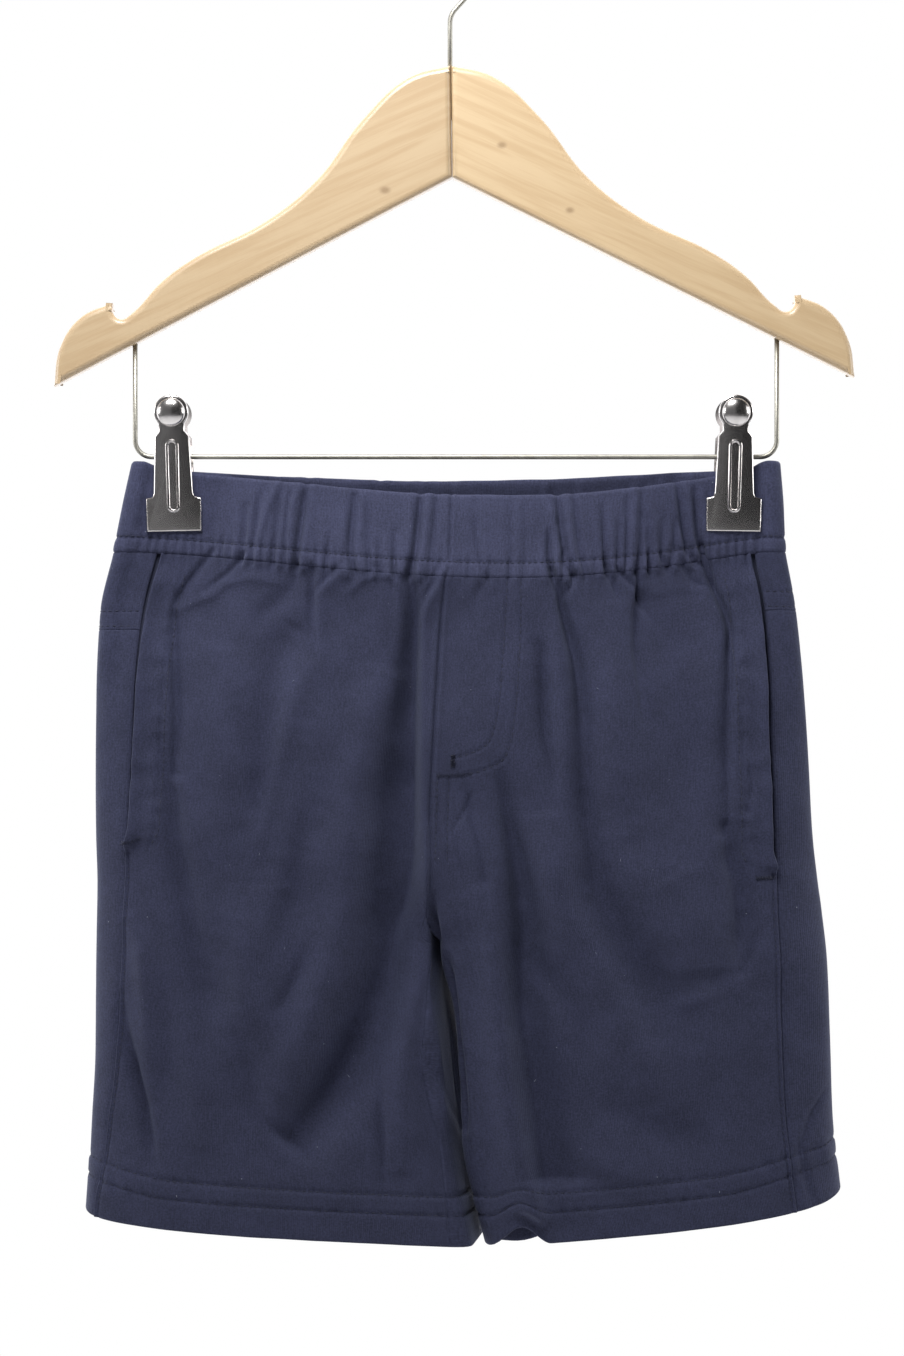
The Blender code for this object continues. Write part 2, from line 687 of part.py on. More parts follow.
def wood_arm(side, material, collection, cutters):
    """Half of the wooden body, a flat outline with rounded edges, bored for the hook and the bar."""
    sign = 1.0 if side == "left" else -1.0
    curve = bpy.data.curves.new(f"wood_{side}", "CURVE")
    curve.dimensions = "2D"
    curve.fill_mode = "BOTH"
    curve.extrude = (WOOD_THICK / 2.0 - WOOD_ROUND) * MM
    curve.bevel_depth = WOOD_ROUND * MM
    curve.bevel_resolution = 1
    curve.offset = -WOOD_ROUND * MM
    curve.resolution_u = 4
    spline = curve.splines.new("BEZIER")
    spline.use_cyclic_u = True
    spline.bezier_points.add(len(ARM_OUTLINE) - 1)
    for knot, row in zip(spline.bezier_points, ARM_OUTLINE):
        out = max(row.out, JOINT_GAP / 2.0)
        knot.co = (sign * out * MM, -row.down * MM, 0.0)
        kind = "AUTO" if row.smooth else "VECTOR"
        knot.handle_left_type = kind
        knot.handle_right_type = kind
    flat = bpy.data.objects.new(f"wood_{side}", curve)
    collection.objects.link(flat)
    flat.rotation_euler = (math.radians(90.0), math.radians(-ARM_TILT), 0.0)
    flat.location = Vector((APEX[0], 0.0, APEX[1])) * MM
    arm = link_solid(mesh_from_curve(flat), material, collection)
    arm.data.shade_smooth()
    arm.data.set_sharp_from_angle(angle=math.radians(40.0))
    for cutter in cutters:
        boolean(arm, cutter, "DIFFERENCE")
    return arm


def plate_outline():
    """Outline of a clip plate, across and up from the middle of its jaw edge."""
    run_in, run_up = SHOULDER_SLOPE
    half = [
        (JAW_HALF, 0.0),
        (JAW_HALF, JAW_HEIGHT),
        (NECK_HALF_LOW + run_in, JAW_HEIGHT + run_in),
        (NECK_HALF_LOW, JAW_HEIGHT + run_up),
        (NECK_HALF_HIGH, SHOULDER_Z),
        (THROAT_HALF, SHOULDER_Z + run_up),
    ]
    start = -math.degrees(math.acos(THROAT_HALF / HEAD_RADIUS))
    steps = 8
    for i in range(steps + 1):
        angle = math.radians(start + (90.0 - start) * i / steps)
        half.append((HEAD_RADIUS * math.cos(angle), HEAD_Z + HEAD_RADIUS * math.sin(angle)))
    return half + [(-x, z) for x, z in reversed(half[:-1])]


def plate_sheet(name, place, material, collection):
    """The flat stamping of a clip plate, its gripping face on the middle plane of place."""
    curve = bpy.data.curves.new(name, "CURVE")
    curve.dimensions = "2D"
    curve.fill_mode = "BOTH"
    curve.extrude = PLATE_THICK / 2.0 * MM
    outline = plate_outline()
    spline = curve.splines.new("POLY")
    spline.use_cyclic_u = True
    spline.points.add(len(outline) - 1)
    for point, (across, up) in zip(spline.points, outline):
        point.co = (across * MM, up * MM, 0.0, 1.0)
    flat = bpy.data.objects.new(name, curve)
    collection.objects.link(flat)
    flat.parent = place
    flat.rotation_euler = (math.radians(90.0), 0.0, 0.0)
    flat.location = (0.0, -PLATE_THICK / 2.0 * MM, 0.0)
    return link_solid(mesh_from_curve(flat), material, collection)


def helper(obj, place, cutters):
    """Makes obj a hidden helper that moves with place."""
    for owner in list(obj.users_collection):
        owner.objects.unlink(obj)
    cutters.objects.link(obj)
    obj.parent = place
    obj.hide_render = True
    obj.display_type = "WIRE"
    return obj


def plate_dome(name, place, cutters):
    bpy.ops.mesh.primitive_uv_sphere_add(segments=16, ring_count=8, radius=1.0)
    dome = helper(bpy.context.object, place, cutters)
    dome.name = name
    dome.scale = (DOME_RADIUS * MM, DOME_HEIGHT * MM, DOME_RADIUS * MM)
    dome.location = (0.0, -PLATE_THICK * DOME_SINK * MM, HEAD_Z * MM)
    return dome


def plate_bead(name, place, cutters):
    """The raised oblong rib of a plate."""
    low, high = BEAD_Z
    points = []
    for centre, start in ((high, 0.0), (low, 180.0)):
        for i in range(5):
            angle = math.radians(start + 45.0 * i)
            points.append((BEAD_HALF * math.cos(angle), 0.0, centre + BEAD_HALF * math.sin(angle)))
    tube = wire(name, points, BEAD_RADIUS, bpy.data.materials["steel plate"], cutters, cyclic=True)
    bead = mesh_from_curve(tube)
    cutters.objects.link(bead)
    bead.location = (0.0, -PLATE_THICK * MM, 0.0)
    return helper(bead, place, cutters)


def plate_ear(name, place, x, reach, height, cutters):
    """A lug bent in from a plate, which the bar passes through."""
    bpy.ops.mesh.primitive_cube_add(size=1.0)
    ear = helper(bpy.context.object, place, cutters)
    ear.name = name
    ear.scale = (EAR_THICK * MM, reach * MM, 2.0 * EAR_HALF * MM)
    ear.location = (x * MM, (reach / 2.0 - PLATE_THICK / 2.0) * MM, height * MM)
    return ear


def clip_plate(clip, face, bar_rod, material, collection, cutters):
    """One stamped plate of a clip: sheet, domed head, rib and two ears, cleared for the bar."""
    name = f"clip_{clip.side}_{face}"
    sign = -1.0 if face == "front" else 1.0
    place = bpy.data.objects.new(f"{name}_place", None)
    collection.objects.link(place)
    splay = math.radians(SPLAY)
    lean = math.radians(clip.lean)
    place.location = Vector((clip.x, sign * JAW_Y, JAW_Z)) * MM
    place.rotation_euler = (splay, -lean * -sign, math.pi if face == "back" else 0.0)
    plate = plate_sheet(name, place, material, collection)
    rise = BAR_Z - JAW_Z
    height = rise * math.cos(splay)
    reach = JAW_Y + rise * math.sin(splay) + EAR_PAST_BAR
    boolean(plate, plate_dome(f"{name}_dome", place, cutters), "UNION")
    boolean(plate, plate_bead(f"{name}_bead", place, cutters), "UNION")
    for end in (-1.0, 1.0):
        ear = plate_ear(f"{name}_ear{end:+.0f}", place, end * EAR_X[face], reach, height, cutters)
        boolean(plate, ear, "UNION")
    boolean(plate, bar_rod, "DIFFERENCE")
    return plate


def clip_spring(clip, bar_rod, material, collection):
    """The coil that shuts a clip, as a plain sleeve on the bar between the ears."""
    bpy.ops.mesh.primitive_cylinder_add(
        vertices=20, radius=SPRING_RADIUS * MM, depth=2.0 * SPRING_HALF * MM
    )
    spring = bpy.context.object
    spring.name = f"clip_{clip.side}_spring"
    spring.rotation_euler = (0.0, math.radians(90.0), 0.0)
    lean_shift = -math.tan(math.radians(clip.lean)) * (BAR_Z - JAW_Z)
    spring.location = Vector((clip.x + lean_shift, 0.0, BAR_Z)) * MM
    for owner in list(spring.users_collection):
        owner.objects.unlink(spring)
    link_solid(spring, material, collection)
    boolean(spring, bar_rod, "DIFFERENCE")
    return spring


def build_hanger(collection, cutters):
    wood = new_material("maple", WOOD, 0.42)
    steel = new_material("steel wire", STEEL, 0.28, metallic=1.0)
    plate = new_material("steel plate", PLATE_STEEL, 0.16, metallic=1.0)
    hook(steel, collection)
    trouser_bar(steel, collection)
    bore = WIRE / 2.0 + BORE_GAP
    stem_end = (0, 0, STEM_END_Z - BORE_GAP)
    stem_bore = rod_cutter("stem_bore", stem_end, (0, 0, STEM_BORE_TOP), bore, cutters)
    for side, x in (("right", BAR_ENDS[0]), ("left", BAR_ENDS[1])):
        end_bore = rod_cutter(
            f"bar_bore_{side}", (x, 0, BAR_Z), (x, 0, BAR_TOP_Z + BORE_GAP), bore, cutters
        )
        wood_arm(side, wood, collection, [stem_bore, end_bore])
    bar_start = (BAR_ENDS[0] - BAR_ROD_PAST, 0, BAR_Z)
    bar_end = (BAR_ENDS[1] + BAR_ROD_PAST, 0, BAR_Z)
    bar_rod = rod_cutter("bar_rod", bar_start, bar_end, bore, cutters)
    for clip in CLIPS:
        for face in ("front", "back"):
            clip_plate(clip, face, bar_rod, plate, collection, cutters)
        clip_spring(clip, bar_rod, steel, collection)


def build_shorts(collection):
    navy = new_material("navy jersey", NAVY, 0.85)
    inside = new_material("navy pocketing", NAVY_INSIDE, 0.9)
    for half in ("right", "left"):
        front_panel(half, navy, collection)
        yoke(half, navy, collection)
        back_panel(half, navy, collection)
        pocket_bag(half, inside, collection)
    for face in ("front", "back"):
        waistband(face, navy, collection)


def main():
    clear_scene()
    collection = new_collection("shorts_on_hanger")
    cutters = new_collection("cutters")
    build_shorts(collection)
    build_hanger(collection, cutters)


main()
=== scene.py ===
"""Looks of a child's pull-on jersey shorts, clipped by the waistband under a wooden hanger.

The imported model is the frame. Left and right are the wearer's, the front faces -Y, and sizes are in
millimetres until a mesh is written. The cloth follows the same garment form as its solids: a loop in plan
for each half at each height. Creases are lines seen from the front, in the garment's own X and Z.
"""

import logging
import math
from collections.abc import Sequence
from dataclasses import dataclass, field
from enum import Enum
from functools import partial
from typing import NamedTuple

import bmesh
import bpy
import numpy as np
from mathutils import Euler, Matrix, Vector


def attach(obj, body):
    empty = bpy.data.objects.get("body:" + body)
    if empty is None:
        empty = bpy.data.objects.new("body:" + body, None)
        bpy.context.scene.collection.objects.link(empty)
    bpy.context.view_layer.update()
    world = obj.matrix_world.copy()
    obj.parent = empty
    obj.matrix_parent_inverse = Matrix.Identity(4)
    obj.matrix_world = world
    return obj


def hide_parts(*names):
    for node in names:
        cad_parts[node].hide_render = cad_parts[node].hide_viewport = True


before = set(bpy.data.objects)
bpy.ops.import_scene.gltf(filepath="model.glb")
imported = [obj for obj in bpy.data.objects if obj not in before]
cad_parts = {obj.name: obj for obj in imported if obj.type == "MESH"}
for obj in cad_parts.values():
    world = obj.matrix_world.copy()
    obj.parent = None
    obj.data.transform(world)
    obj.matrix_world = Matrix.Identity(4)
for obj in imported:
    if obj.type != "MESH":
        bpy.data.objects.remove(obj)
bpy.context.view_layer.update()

MM = 0.001
BODY = "root"

Array = np.ndarray
Socket = bpy.types.NodeSocket
Sockets = bpy.types.bpy_prop_collection
Node = bpy.types.Node
Material = bpy.types.Material
Object = bpy.types.Object
Part = tuple[Array, list[list[int]]]  # points in millimetres, and faces
Triple = tuple[float, float, float]
log = logging.getLogger("shorts")


class Half(Enum):
    """Half of the shorts, the wearer's."""

    RIGHT = "right"
    LEFT = "left"

    @property
    def outward(self) -> float:
        """Sign of X going out from the centre seam."""
        return 1.0 if self is Half.LEFT else -1.0


class Face(Enum):
    """Face of the shorts."""

    FRONT = "front"
    BACK = "back"

    @property
    def outward(self) -> float:
        """Sign of Y going out of the cloth."""
        return 1.0 if self is Face.BACK else -1.0


# ---------------------------------------------------------------- curves and fields
def smoothstep(low: float, high: float, value: Array | float) -> Array:
    """Smooth change from 0 at low to 1 at high."""
    t = np.clip((np.asarray(value, float) - low) / (high - low), 0.0, 1.0)
    return t * t * (3.0 - 2.0 * t)


def bell(value: Array, width: float | Array) -> Array:
    """A soft bump of height 1 about 0."""
    return np.exp(-((value / width) ** 2))


def run_along(points: Array) -> Array:
    """Length along a line at each of its points."""
    return np.concatenate([[0.0], np.cumsum(np.linalg.norm(np.diff(points, axis=0), axis=1))])


def unit(vectors: Array) -> Array:
    """The same directions with length 1, one a row."""
    return vectors / np.linalg.norm(vectors, axis=1, keepdims=True)


def read_columns(at: Array, run: Array, rows: Array) -> list[Array]:
    """Each column of rows, read at lengths along their run."""
    return [np.interp(at, run, column) for column in rows.T]


def crossing(gap: Array, run: Array) -> float:
    """Finds where a gap that is below 0 at first has closed.

    Args:
        gap: the gap at each point of a line.
        run: the length along the line there.

    Returns:
        The length at which it closes, or the whole run if it stays open.
    """
    closed = gap[1:] >= 0.0
    if not closed.any():
        return float(run[-1])
    i = int(np.argmax(closed))
    step = gap[i + 1] - gap[i]
    share = -gap[i] / step if abs(step) > 1e-6 else 0.0
    return float(run[i] + max(0.0, share) * (run[i + 1] - run[i]))


def smooth_curve(knots: Array, values: Array, at: Array) -> Array:
    """Reads a smooth curve that never overshoots its rows.

    Args:
        knots: where the rows are, ascending.
        values: what the rows say.
        at: where to read.

    Returns:
        The values there, held at the two ends.
    """
    step = np.diff(knots)
    slope = np.diff(values) / step
    tangent = np.concatenate([slope[:1], slope[1:], slope[-1:]])
    before, after = slope[:-1], slope[1:]
    rising = before * after > 0
    total = np.where(rising, before + after, 1.0)
    tangent[1:-1] = np.where(rising, 2.0 * before * after / total, 0.0)
    at = np.clip(at, knots[0], knots[-1])
    i = np.clip(np.searchsorted(knots, at, side="right") - 1, 0, len(step) - 1)
    t = (at - knots[i]) / step[i]
    return (
        (2 * t**3 - 3 * t**2 + 1) * values[i]
        + (t**3 - 2 * t**2 + t) * step[i] * tangent[i]
        + (3 * t**2 - 2 * t**3) * values[i + 1]
        + (t**3 - t**2) * step[i] * tangent[i + 1]
    )


@dataclass
class SoftWaves:
    """Gentle unevenness, a sum of long waves in all directions."""

    seed: int
    shortest: float
    longest: float
    height: float
    count: int = 14

    def __post_init__(self) -> None:
        """Draws the waves."""
        draw = np.random.default_rng(self.seed)
        turn = draw.uniform(0.0, math.pi, self.count)
        length = draw.uniform(self.shortest, self.longest, self.count)
        self.kx = 2.0 * math.pi * np.cos(turn) / length
        self.kz = 2.0 * math.pi * np.sin(turn) / length
        self.start = draw.uniform(0.0, 2.0 * math.pi, self.count)
        self.share = self.height * math.sqrt(2.0 / self.count)

    def at(self, x: Array, z: Array) -> Array:
        """Height of the waves at points of a face."""
        waves = (np.cos(a * x + b * z + c) for a, b, c in zip(self.kx, self.kz, self.start))
        return self.share * sum(waves)


class Near(NamedTuple):
    """The points near a line: which they are, and where they lie along it, beside it and past its ends."""

    which: Array
    along: Array
    aside: Array
    beyond: Array


@dataclass
class Line:
    """A smooth line on a face, seen from the front. On a line that runs down, aside grows towards +X."""

    points: Sequence[tuple[float, float]]
    spacing: float = 1.0

    def __post_init__(self) -> None:
        """Samples the line evenly."""
        knots = np.array(self.points, float)
        chord = run_along(knots)
        at = np.linspace(0.0, chord[-1], max(2, int(chord[-1] / self.spacing) + 1))
        self.samples = np.stack([smooth_curve(chord, column, at) for column in knots.T], axis=1)
        self.tangents = unit(np.gradient(self.samples, axis=0))
        self.run = run_along(self.samples)

    @property
    def length(self) -> float:
        """Length of the line."""
        return float(self.run[-1])

    def near(self, x: Array, z: Array, reach: float) -> Near:
        """Finds the points within reach of the line.

        Args:
            x: X of all points.
            z: Z of all points.
            reach: how far to look.

        Returns:
            The points in the line's box grown by reach, and their places against the line.
        """
        low, high = self.samples.min(0) - reach, self.samples.max(0) + reach
        which = np.nonzero((x > low[0]) & (x < high[0]) & (z > low[1]) & (z < high[1]))[0]
        px, pz = x[which], z[which]
        best = np.full(len(which), np.inf)
        nearest = np.zeros(len(which), int)
        for k, (sx, sz) in enumerate(self.samples):
            gap = (px - sx) ** 2 + (pz - sz) ** 2
            closer = gap < best
            best[closer] = gap[closer]
            nearest[closer] = k
        dx, dz = px - self.samples[nearest, 0], pz - self.samples[nearest, 1]
        tx, tz = self.tangents[nearest].T
        along = self.run[nearest] + dx * tx + dz * tz
        beyond = np.maximum(0.0, np.maximum(-along, along - self.length))
        return Near(which, along, dz * tx - dx * tz, beyond)


@dataclass
class Crease:
    """A soft trough, or with a negative depth a ridge, along a line on a face.

    held is the share of the depth along the line, left and right are its widths towards -X and +X of a line
    that runs down, and lips are the shares of the depth by which the cloth rises on either side. lip_at,
    lip_width and reach are in widths of the crease, and reach is how far out it is worked out.
    """

    points: Sequence[tuple[float, float]]
    depth: float
    held: Sequence[float] = (1.0,)
    left: Sequence[float] = (1.3,)
    right: Sequence[float] = ()
    lips: tuple[float, float] = (0.0, 0.0)
    fade: float = 3.0
    lip_at: float = 1.9
    lip_width: float = 1.25
    reach: float = 2.6

    def depth_at(self, x: Array, z: Array, total: Array) -> None:
        """Adds the crease's depth to total.

        Args:
            x: X of the points.
            z: Z of the points.
            total: how far the cloth goes in at each, which this changes.
        """
        right = self.right or self.left
        widest = max(*self.left, *right)
        line = Line(self.points, max(0.8, 0.4 * min(*self.left, *right, 4.0)))
        near = line.near(x, z, self.reach * widest + self.fade)

        def along(rows: Sequence[float]) -> Array:
            """Reads evenly spaced rows along the line. One row alone holds all along it."""
            rows = np.array(rows if len(rows) > 1 else 2 * tuple(rows), float)
            return smooth_curve(np.linspace(0.0, line.length, len(rows)), rows, near.along)

        width = np.where(near.aside < 0.0, along(self.left), along(right))
        shape = bell(near.aside, width)
        for side, lip in zip((-1.0, 1.0), self.lips):
            if lip:
                shape -= lip * bell(near.aside - side * self.lip_at * width, self.lip_width * width)
        total[near.which] += self.depth * along(self.held) * bell(near.beyond, self.fade) * shape


@dataclass
class Relief:
    """All that shapes one face of the shorts beyond the form: creases and a soft unevenness."""

    creases: list[Crease]
    waves: list[SoftWaves]

    def depth(self, x: Array, z: Array) -> Array:
        """Adds up the waves and creases of this face.

        Args:
            x: X of the points.
            z: Z of the points.

        Returns:
            How far the cloth goes in at each.
        """
        total = sum(wave.at(x, z) for wave in self.waves)
        for crease in self.creases:
            crease.depth_at(x, z, total)
        return total


# ---------------------------------------------------------------- the garment form
class Level(NamedTuple):
    """The loop of a half at one height, down millimetres below the waist seam.

    outer, seam and inner are the X of its silhouette, of its side seam in front and of its inner side. roll
    is how far the inseam lies round on the front, and skew is how much the inner side leans. front and back
    are the two faces' depths, and a reach of 1 closes a face fully at the inner side.
    """

    down: float
    outer: float
    seam: float
    inner: float
    roll: float
    skew: float
    front: float
    back: float
    front_reach: float
    back_reach: float


LEVELS = {
    Half.RIGHT: [
        Level(0, -143.0, -124.5, -1.9, 0.0, 0.00, 19, 19, 0.00, 0.00),
        Level(25, -148.6, -130.5, -3.0, 0.0, 0.00, 21, 21, 0.00, 0.00),
        Level(60, -150.3, -133.7, -5.0, 0.0, 0.00, 23, 24, 0.05, 0.05),
        Level(95, -150.6, -135.2, -7.0, 0.0, 0.00, 24, 26, 0.25, 0.28),
        Level(120, -150.4, -136.2, -8.2, 0.0, 0.00, 25, 27, 0.55, 0.60),
        Level(142, -149.8, -137.0, -8.2, 0.0, 0.10, 25, 27, 0.87, 0.89),
        Level(156, -150.0, -137.4, -3.8, 5.5, 0.20, 25, 27, 1.00, 1.00),
        Level(180, -150.4, -138.2, -1.7, 8.8, 0.30, 25, 27, 1.00, 1.00),
        Level(212, -150.6, -140.4, 3.4, 14.8, 0.32, 26, 27, 1.00, 1.00),
        Level(245, -152.2, -144.5, 6.8, 10.8, 0.28, 26, 27, 1.00, 1.00),
        Level(283, -154.0, -148.7, 11.6, 11.8, 0.12, 27, 27, 1.00, 1.00),
    ],
    Half.LEFT: [
        Level(0, 142.6, 129.5, -1.9, 0.0, 0.00, 19, 19, 0.00, 0.00),
        Level(25, 147.0, 133.6, -3.0, 0.0, 0.00, 21, 21, 0.00, 0.00),
        Level(60, 150.4, 135.4, -5.0, 0.0, 0.00, 23, 24, 0.05, 0.05),
        Level(95, 152.6, 136.2, -7.0, 0.0, 0.00, 24, 26, 0.25, 0.28),
        Level(120, 153.8, 136.8, -8.2, 0.0, 0.00, 25, 27, 0.55, 0.60),
        Level(142, 156.0, 137.3, -8.2, 0.0, 0.10, 25, 27, 0.87, 0.89),
        Level(156, 157.8, 137.6, -3.6, 0.0, 0.20, 25, 27, 1.00, 1.00),
        Level(180, 160.2, 138.2, 1.6, 0.0, 0.24, 25, 27, 1.00, 1.00),
        Level(212, 161.4, 139.2, 5.9, 0.0, 0.32, 26, 27, 1.00, 1.00),
        Level(245, 162.4, 141.0, 8.6, 0.0, 0.28, 27, 27, 1.00, 1.00),
        Level(283, 165.2, 145.0, 16.6, 0.0, 0.12, 28, 27, 1.00, 1.00),
    ],
}


class Gap(NamedTuple):
    """Half opening of the waist at a share of the way from the centre to the silhouette."""

    across: float
    opening: float


WAIST_PLAN = [
    Gap(0.00, 19.0),
    Gap(0.30, 17.5),
    Gap(0.55, 11.5),
    Gap(0.68, 4.6),
    Gap(0.74, 2.9),
    Gap(0.93, 2.9),
    Gap(0.965, 5.6),
    Gap(1.00, 6.4),
]


class Sag(NamedTuple):
    """How the waist sags: depth and X of its lowest point, then reach and power to its right and left."""

    depth: float
    x: float
    reach: tuple[float, float]
    power: tuple[float, float]


SAGS = {
    Face.FRONT: Sag(11.2, 25.0, (160.0, 108.0), (1.8, 1.3)),
    Face.BACK: Sag(3.5, 0.0, (135.0, 135.0), (2.0, 2.0)),
}


class Hem(NamedTuple):
    """The hem's height at the side, and how far and in what curve it drops towards the inseam."""

    side_z: float
    drop: float
    power: float


HEMS = {Half.RIGHT: Hem(-559.5, 14.0, 0.46), Half.LEFT: Hem(-551.0, 22.5, 0.50)}


@dataclass
class Loop:
    """A line in plan, the length along it and its direction at each of its points."""

    plan: Array
    join: float = 0.5

    def __post_init__(self) -> None:
        """Measures the line, which is closed if its ends are less than join apart."""
        plan = self.plan
        self.run = run_along(plan)
        self.total = float(self.run[-1])
        self.closed = bool(np.hypot(*(plan[0] - plan[-1])) < self.join)
        first, last = plan[1] - plan[0], plan[-1] - plan[-2]
        if self.closed:
            first = last = plan[1] - plan[-2]
        self.along = unit(np.concatenate([[first], plan[2:] - plan[:-2], [last]]))

    def read(self, at: Array) -> list[Array]:
        """Reads the line, and beyond its ends its straight continuation.

        Args:
            at: lengths along the line.

        Returns:
            x, y and the two parts of the normal to the right of the line's direction.
        """
        past = at - np.clip(at, 0.0, self.total)
        x, y, tx, ty = read_columns(at, self.run, np.hstack([self.plan, self.along]))
        size = np.hypot(tx, ty)
        return [x + past * tx, y + past * ty, ty / size, -tx / size]


class Place(NamedTuple):
    """Points of the form: plan, outward normal, and how far the front is from the back there."""

    x: Array
    y: Array
    nx: Array
    ny: Array
    apart: Array


@dataclass
class FaceTable:
    """Places of one face of a half, at even steps down and across, and its width at each step down."""

    places: Array
    widths: Array

    def sample(self, across: Array, share: Array) -> Place:
        """Reads the table between its steps.

        Args:
            across: 0 to 1 from the first seam to the last.
            share: 0 at the waist seam and 1 at the hem.

        Returns:
            The places there.
        """
        rows, columns = self.places.shape[0] - 1, self.places.shape[1] - 1
        r = np.clip(share, 0.0, 1.0) * rows
        c = np.clip(across, 0.0, 1.0) * columns
        i = np.minimum(r.astype(int), rows - 1)
        j = np.minimum(c.astype(int), columns - 1)
        fr, fc = (r - i)[:, None], (c - j)[:, None]
        upper, lower = (self.places[k, j] * (1.0 - fc) + self.places[k, j + 1] * fc for k in (i, i + 1))
        return Place(*(upper * (1.0 - fr) + lower * fr).T)

    def width(self, share: Array) -> Array:
        """Width along the cloth at each share."""
        return np.interp(share, np.linspace(0.0, 1.0, len(self.widths)), self.widths)

    def across_at(self, x: float, share: float) -> float:
        """Finds where the face reaches x, going out.

        Args:
            x: the X to reach.
            share: the share of the way down.

        Returns:
            How far across that is, 0 to 1.
        """
        row = self.places[int(round(share * (self.places.shape[0] - 1))), :, 0]
        order = np.argsort(row)
        return float(np.interp(x, row[order], order / (len(row) - 1)))


@dataclass
class GarmentForm:
    """The shape that all cloth follows, as in the solids' source.

    inner_power is the squareness in plan of a half's inner side, above and below fuller_from. near_inner is
    how far the cloth beside the inner side reaches, and the share of a table's steps that it gets.
    """

    waist_z: float = -282.0
    length: float = 283.0
    seam_gap: float = -0.4
    lens_power: float = 2.3
    inner_power: dict[Half, tuple[float, float]] = field(
        default_factory=lambda: {Half.RIGHT: (5.0, 13.0), Half.LEFT: (4.5, 4.5)})
    fuller_from: tuple[float, float] = (0.56, 0.70)
    near_inner: dict[Face, tuple[float, float]] = field(
        default_factory=lambda: {Face.FRONT: (8.0, 0.10), Face.BACK: (14.0, 0.22)})
    settle: float = 0.27
    loop_rounding: float = 26.0
    face_blend: float = 3.0
    least_roll: float = 0.01
    side_share: float = 0.25
    rows: int = 330
    columns: int = 420
    arc_steps: int = 300

    def __post_init__(self) -> None:
        """Works out the four faces."""
        self.tables = {(half, face): self.table(half, face) for half in Half for face in Face}

    def level(self, half: Half, share: float) -> Level:
        """The loop's measures at a share of the way down."""
        down, columns = share * self.length, np.array(LEVELS[half], float).T
        return Level(down, *(float(smooth_curve(columns[0], c, np.array(down))) for c in columns[1:]))

    def sag(self, x: Array, face: Face) -> Array:
        """How far the waist seam sags on a face.

        Args:
            x: where along the waist.
            face: which face.

        Returns:
            How far down the seam is from waist_z.
        """
        low = SAGS[face]
        reach, power = (np.where(x > low.x, left, right) for right, left in (low.reach, low.power))
        return low.depth * (1.0 - np.minimum(1.0, np.abs(x - low.x) / reach) ** 2) ** power

    def seam_z(self, x: Array, y: Array) -> Array:
        """Height of the waist seam."""
        to_front = 1.0 - smoothstep(-self.face_blend, self.face_blend, y)
        return self.waist_z - self.sag(x, Face.FRONT) * to_front - self.sag(x, Face.BACK) * (1.0 - to_front)

    def hem_z(self, half: Half, x: Array) -> Array:
        """Height of the hem's edge.

        Args:
            half: which leg.
            x: where across it.

        Returns:
            The heights.
        """
        low, hem = LEVELS[half][-1], HEMS[half]
        across = np.clip((low.outer - x) / (low.outer - low.inner), 0.0, 1.0)
        return hem.side_z - hem.drop * across**hem.power

    def height(self, half: Half, x: Array, y: Array, share: Array) -> Array:
        """Height of a point at a share of the way from the waist seam to the hem."""
        top = self.seam_z(x, y) - self.seam_gap / 2.0
        return top + (self.hem_z(half, x) - top) * share

    def share_at(self, half: Half, x: Array, y: Array, z: Array) -> Array:
        """Share of the way down at which a point has the height z."""
        top = self.seam_z(x, y) - self.seam_gap / 2.0
        return np.clip((z - top) / (self.hem_z(half, x) - top), 0.0, 1.0)

    def arc(self, half: Half, share: float, face: Face) -> Array:
        """Plan points of one face of a half.

        Args:
            half: which half.
            share: the share of the way down.
            face: which face.

        Returns:
            Points from the inner side out to the silhouette.
        """
        level = self.level(half, share)
        reach, depth = level.front_reach, level.front
        if face is Face.BACK:
            reach, depth = level.back_reach, level.back
        half_width = (level.outer - level.inner) / (1.0 + reach)
        middle = level.outer - half_width
        open_out = float(smoothstep(0.0, self.settle, share))
        start = math.acos(-reach)
        across = np.cos(start * (1.0 - np.linspace(0.0, 1.0, self.arc_steps + 1)))
        high, low = self.inner_power[half]
        inner = high + (low - high) * float(smoothstep(*self.fuller_from, share))
        power = np.where(across > 0.0, self.lens_power, inner)
        y = depth * open_out * (1.0 - np.minimum(1.0, np.abs(across)) ** power) ** (1.0 / power)
        if open_out < 1.0:
            opening = smooth_curve(*np.array(WAIST_PLAN).T, across)
            closing = (1.0 - np.clip(across, 0.0, 1.0) ** self.loop_rounding) ** 0.5
            y = y + opening * closing * (1.0 - open_out)
        lean = level.skew * face.outward * y * ((1.0 - across) / 2.0) ** 2
        return np.stack([middle + half_width * across + lean, face.outward * y], axis=1)

    def loop(self, half: Half, share: float) -> Loop:
        """A half's loop, from its inner side in front round to its inner side behind."""
        front, back = (self.arc(half, share, face) for face in Face)
        return Loop(np.concatenate([front, back[-2::-1]]))

    def table_row(self, half: Half, face: Face, share: float) -> tuple[Array, float]:
        """Places of one face at one height, even along the cloth but for near_inner.

        Args:
            half: which half.
            face: front runs from the centre to the side seam, back from there round to the centre.
            share: the share of the way down.

        Returns:
            The places, and the face's width along the cloth at the steps' own rate.
        """
        level, loop, arc = self.level(half, share), self.loop(half, share), self.arc_steps
        out = loop.plan[:, 0] * half.outward
        inner = out[:arc].min()
        reach, kept = self.near_inner[face]

        def out_to(x: float) -> float:
            """Length along the front at which it has come out to x."""
            return crossing(out[: arc + 1] - x, loop.run[: arc + 1])

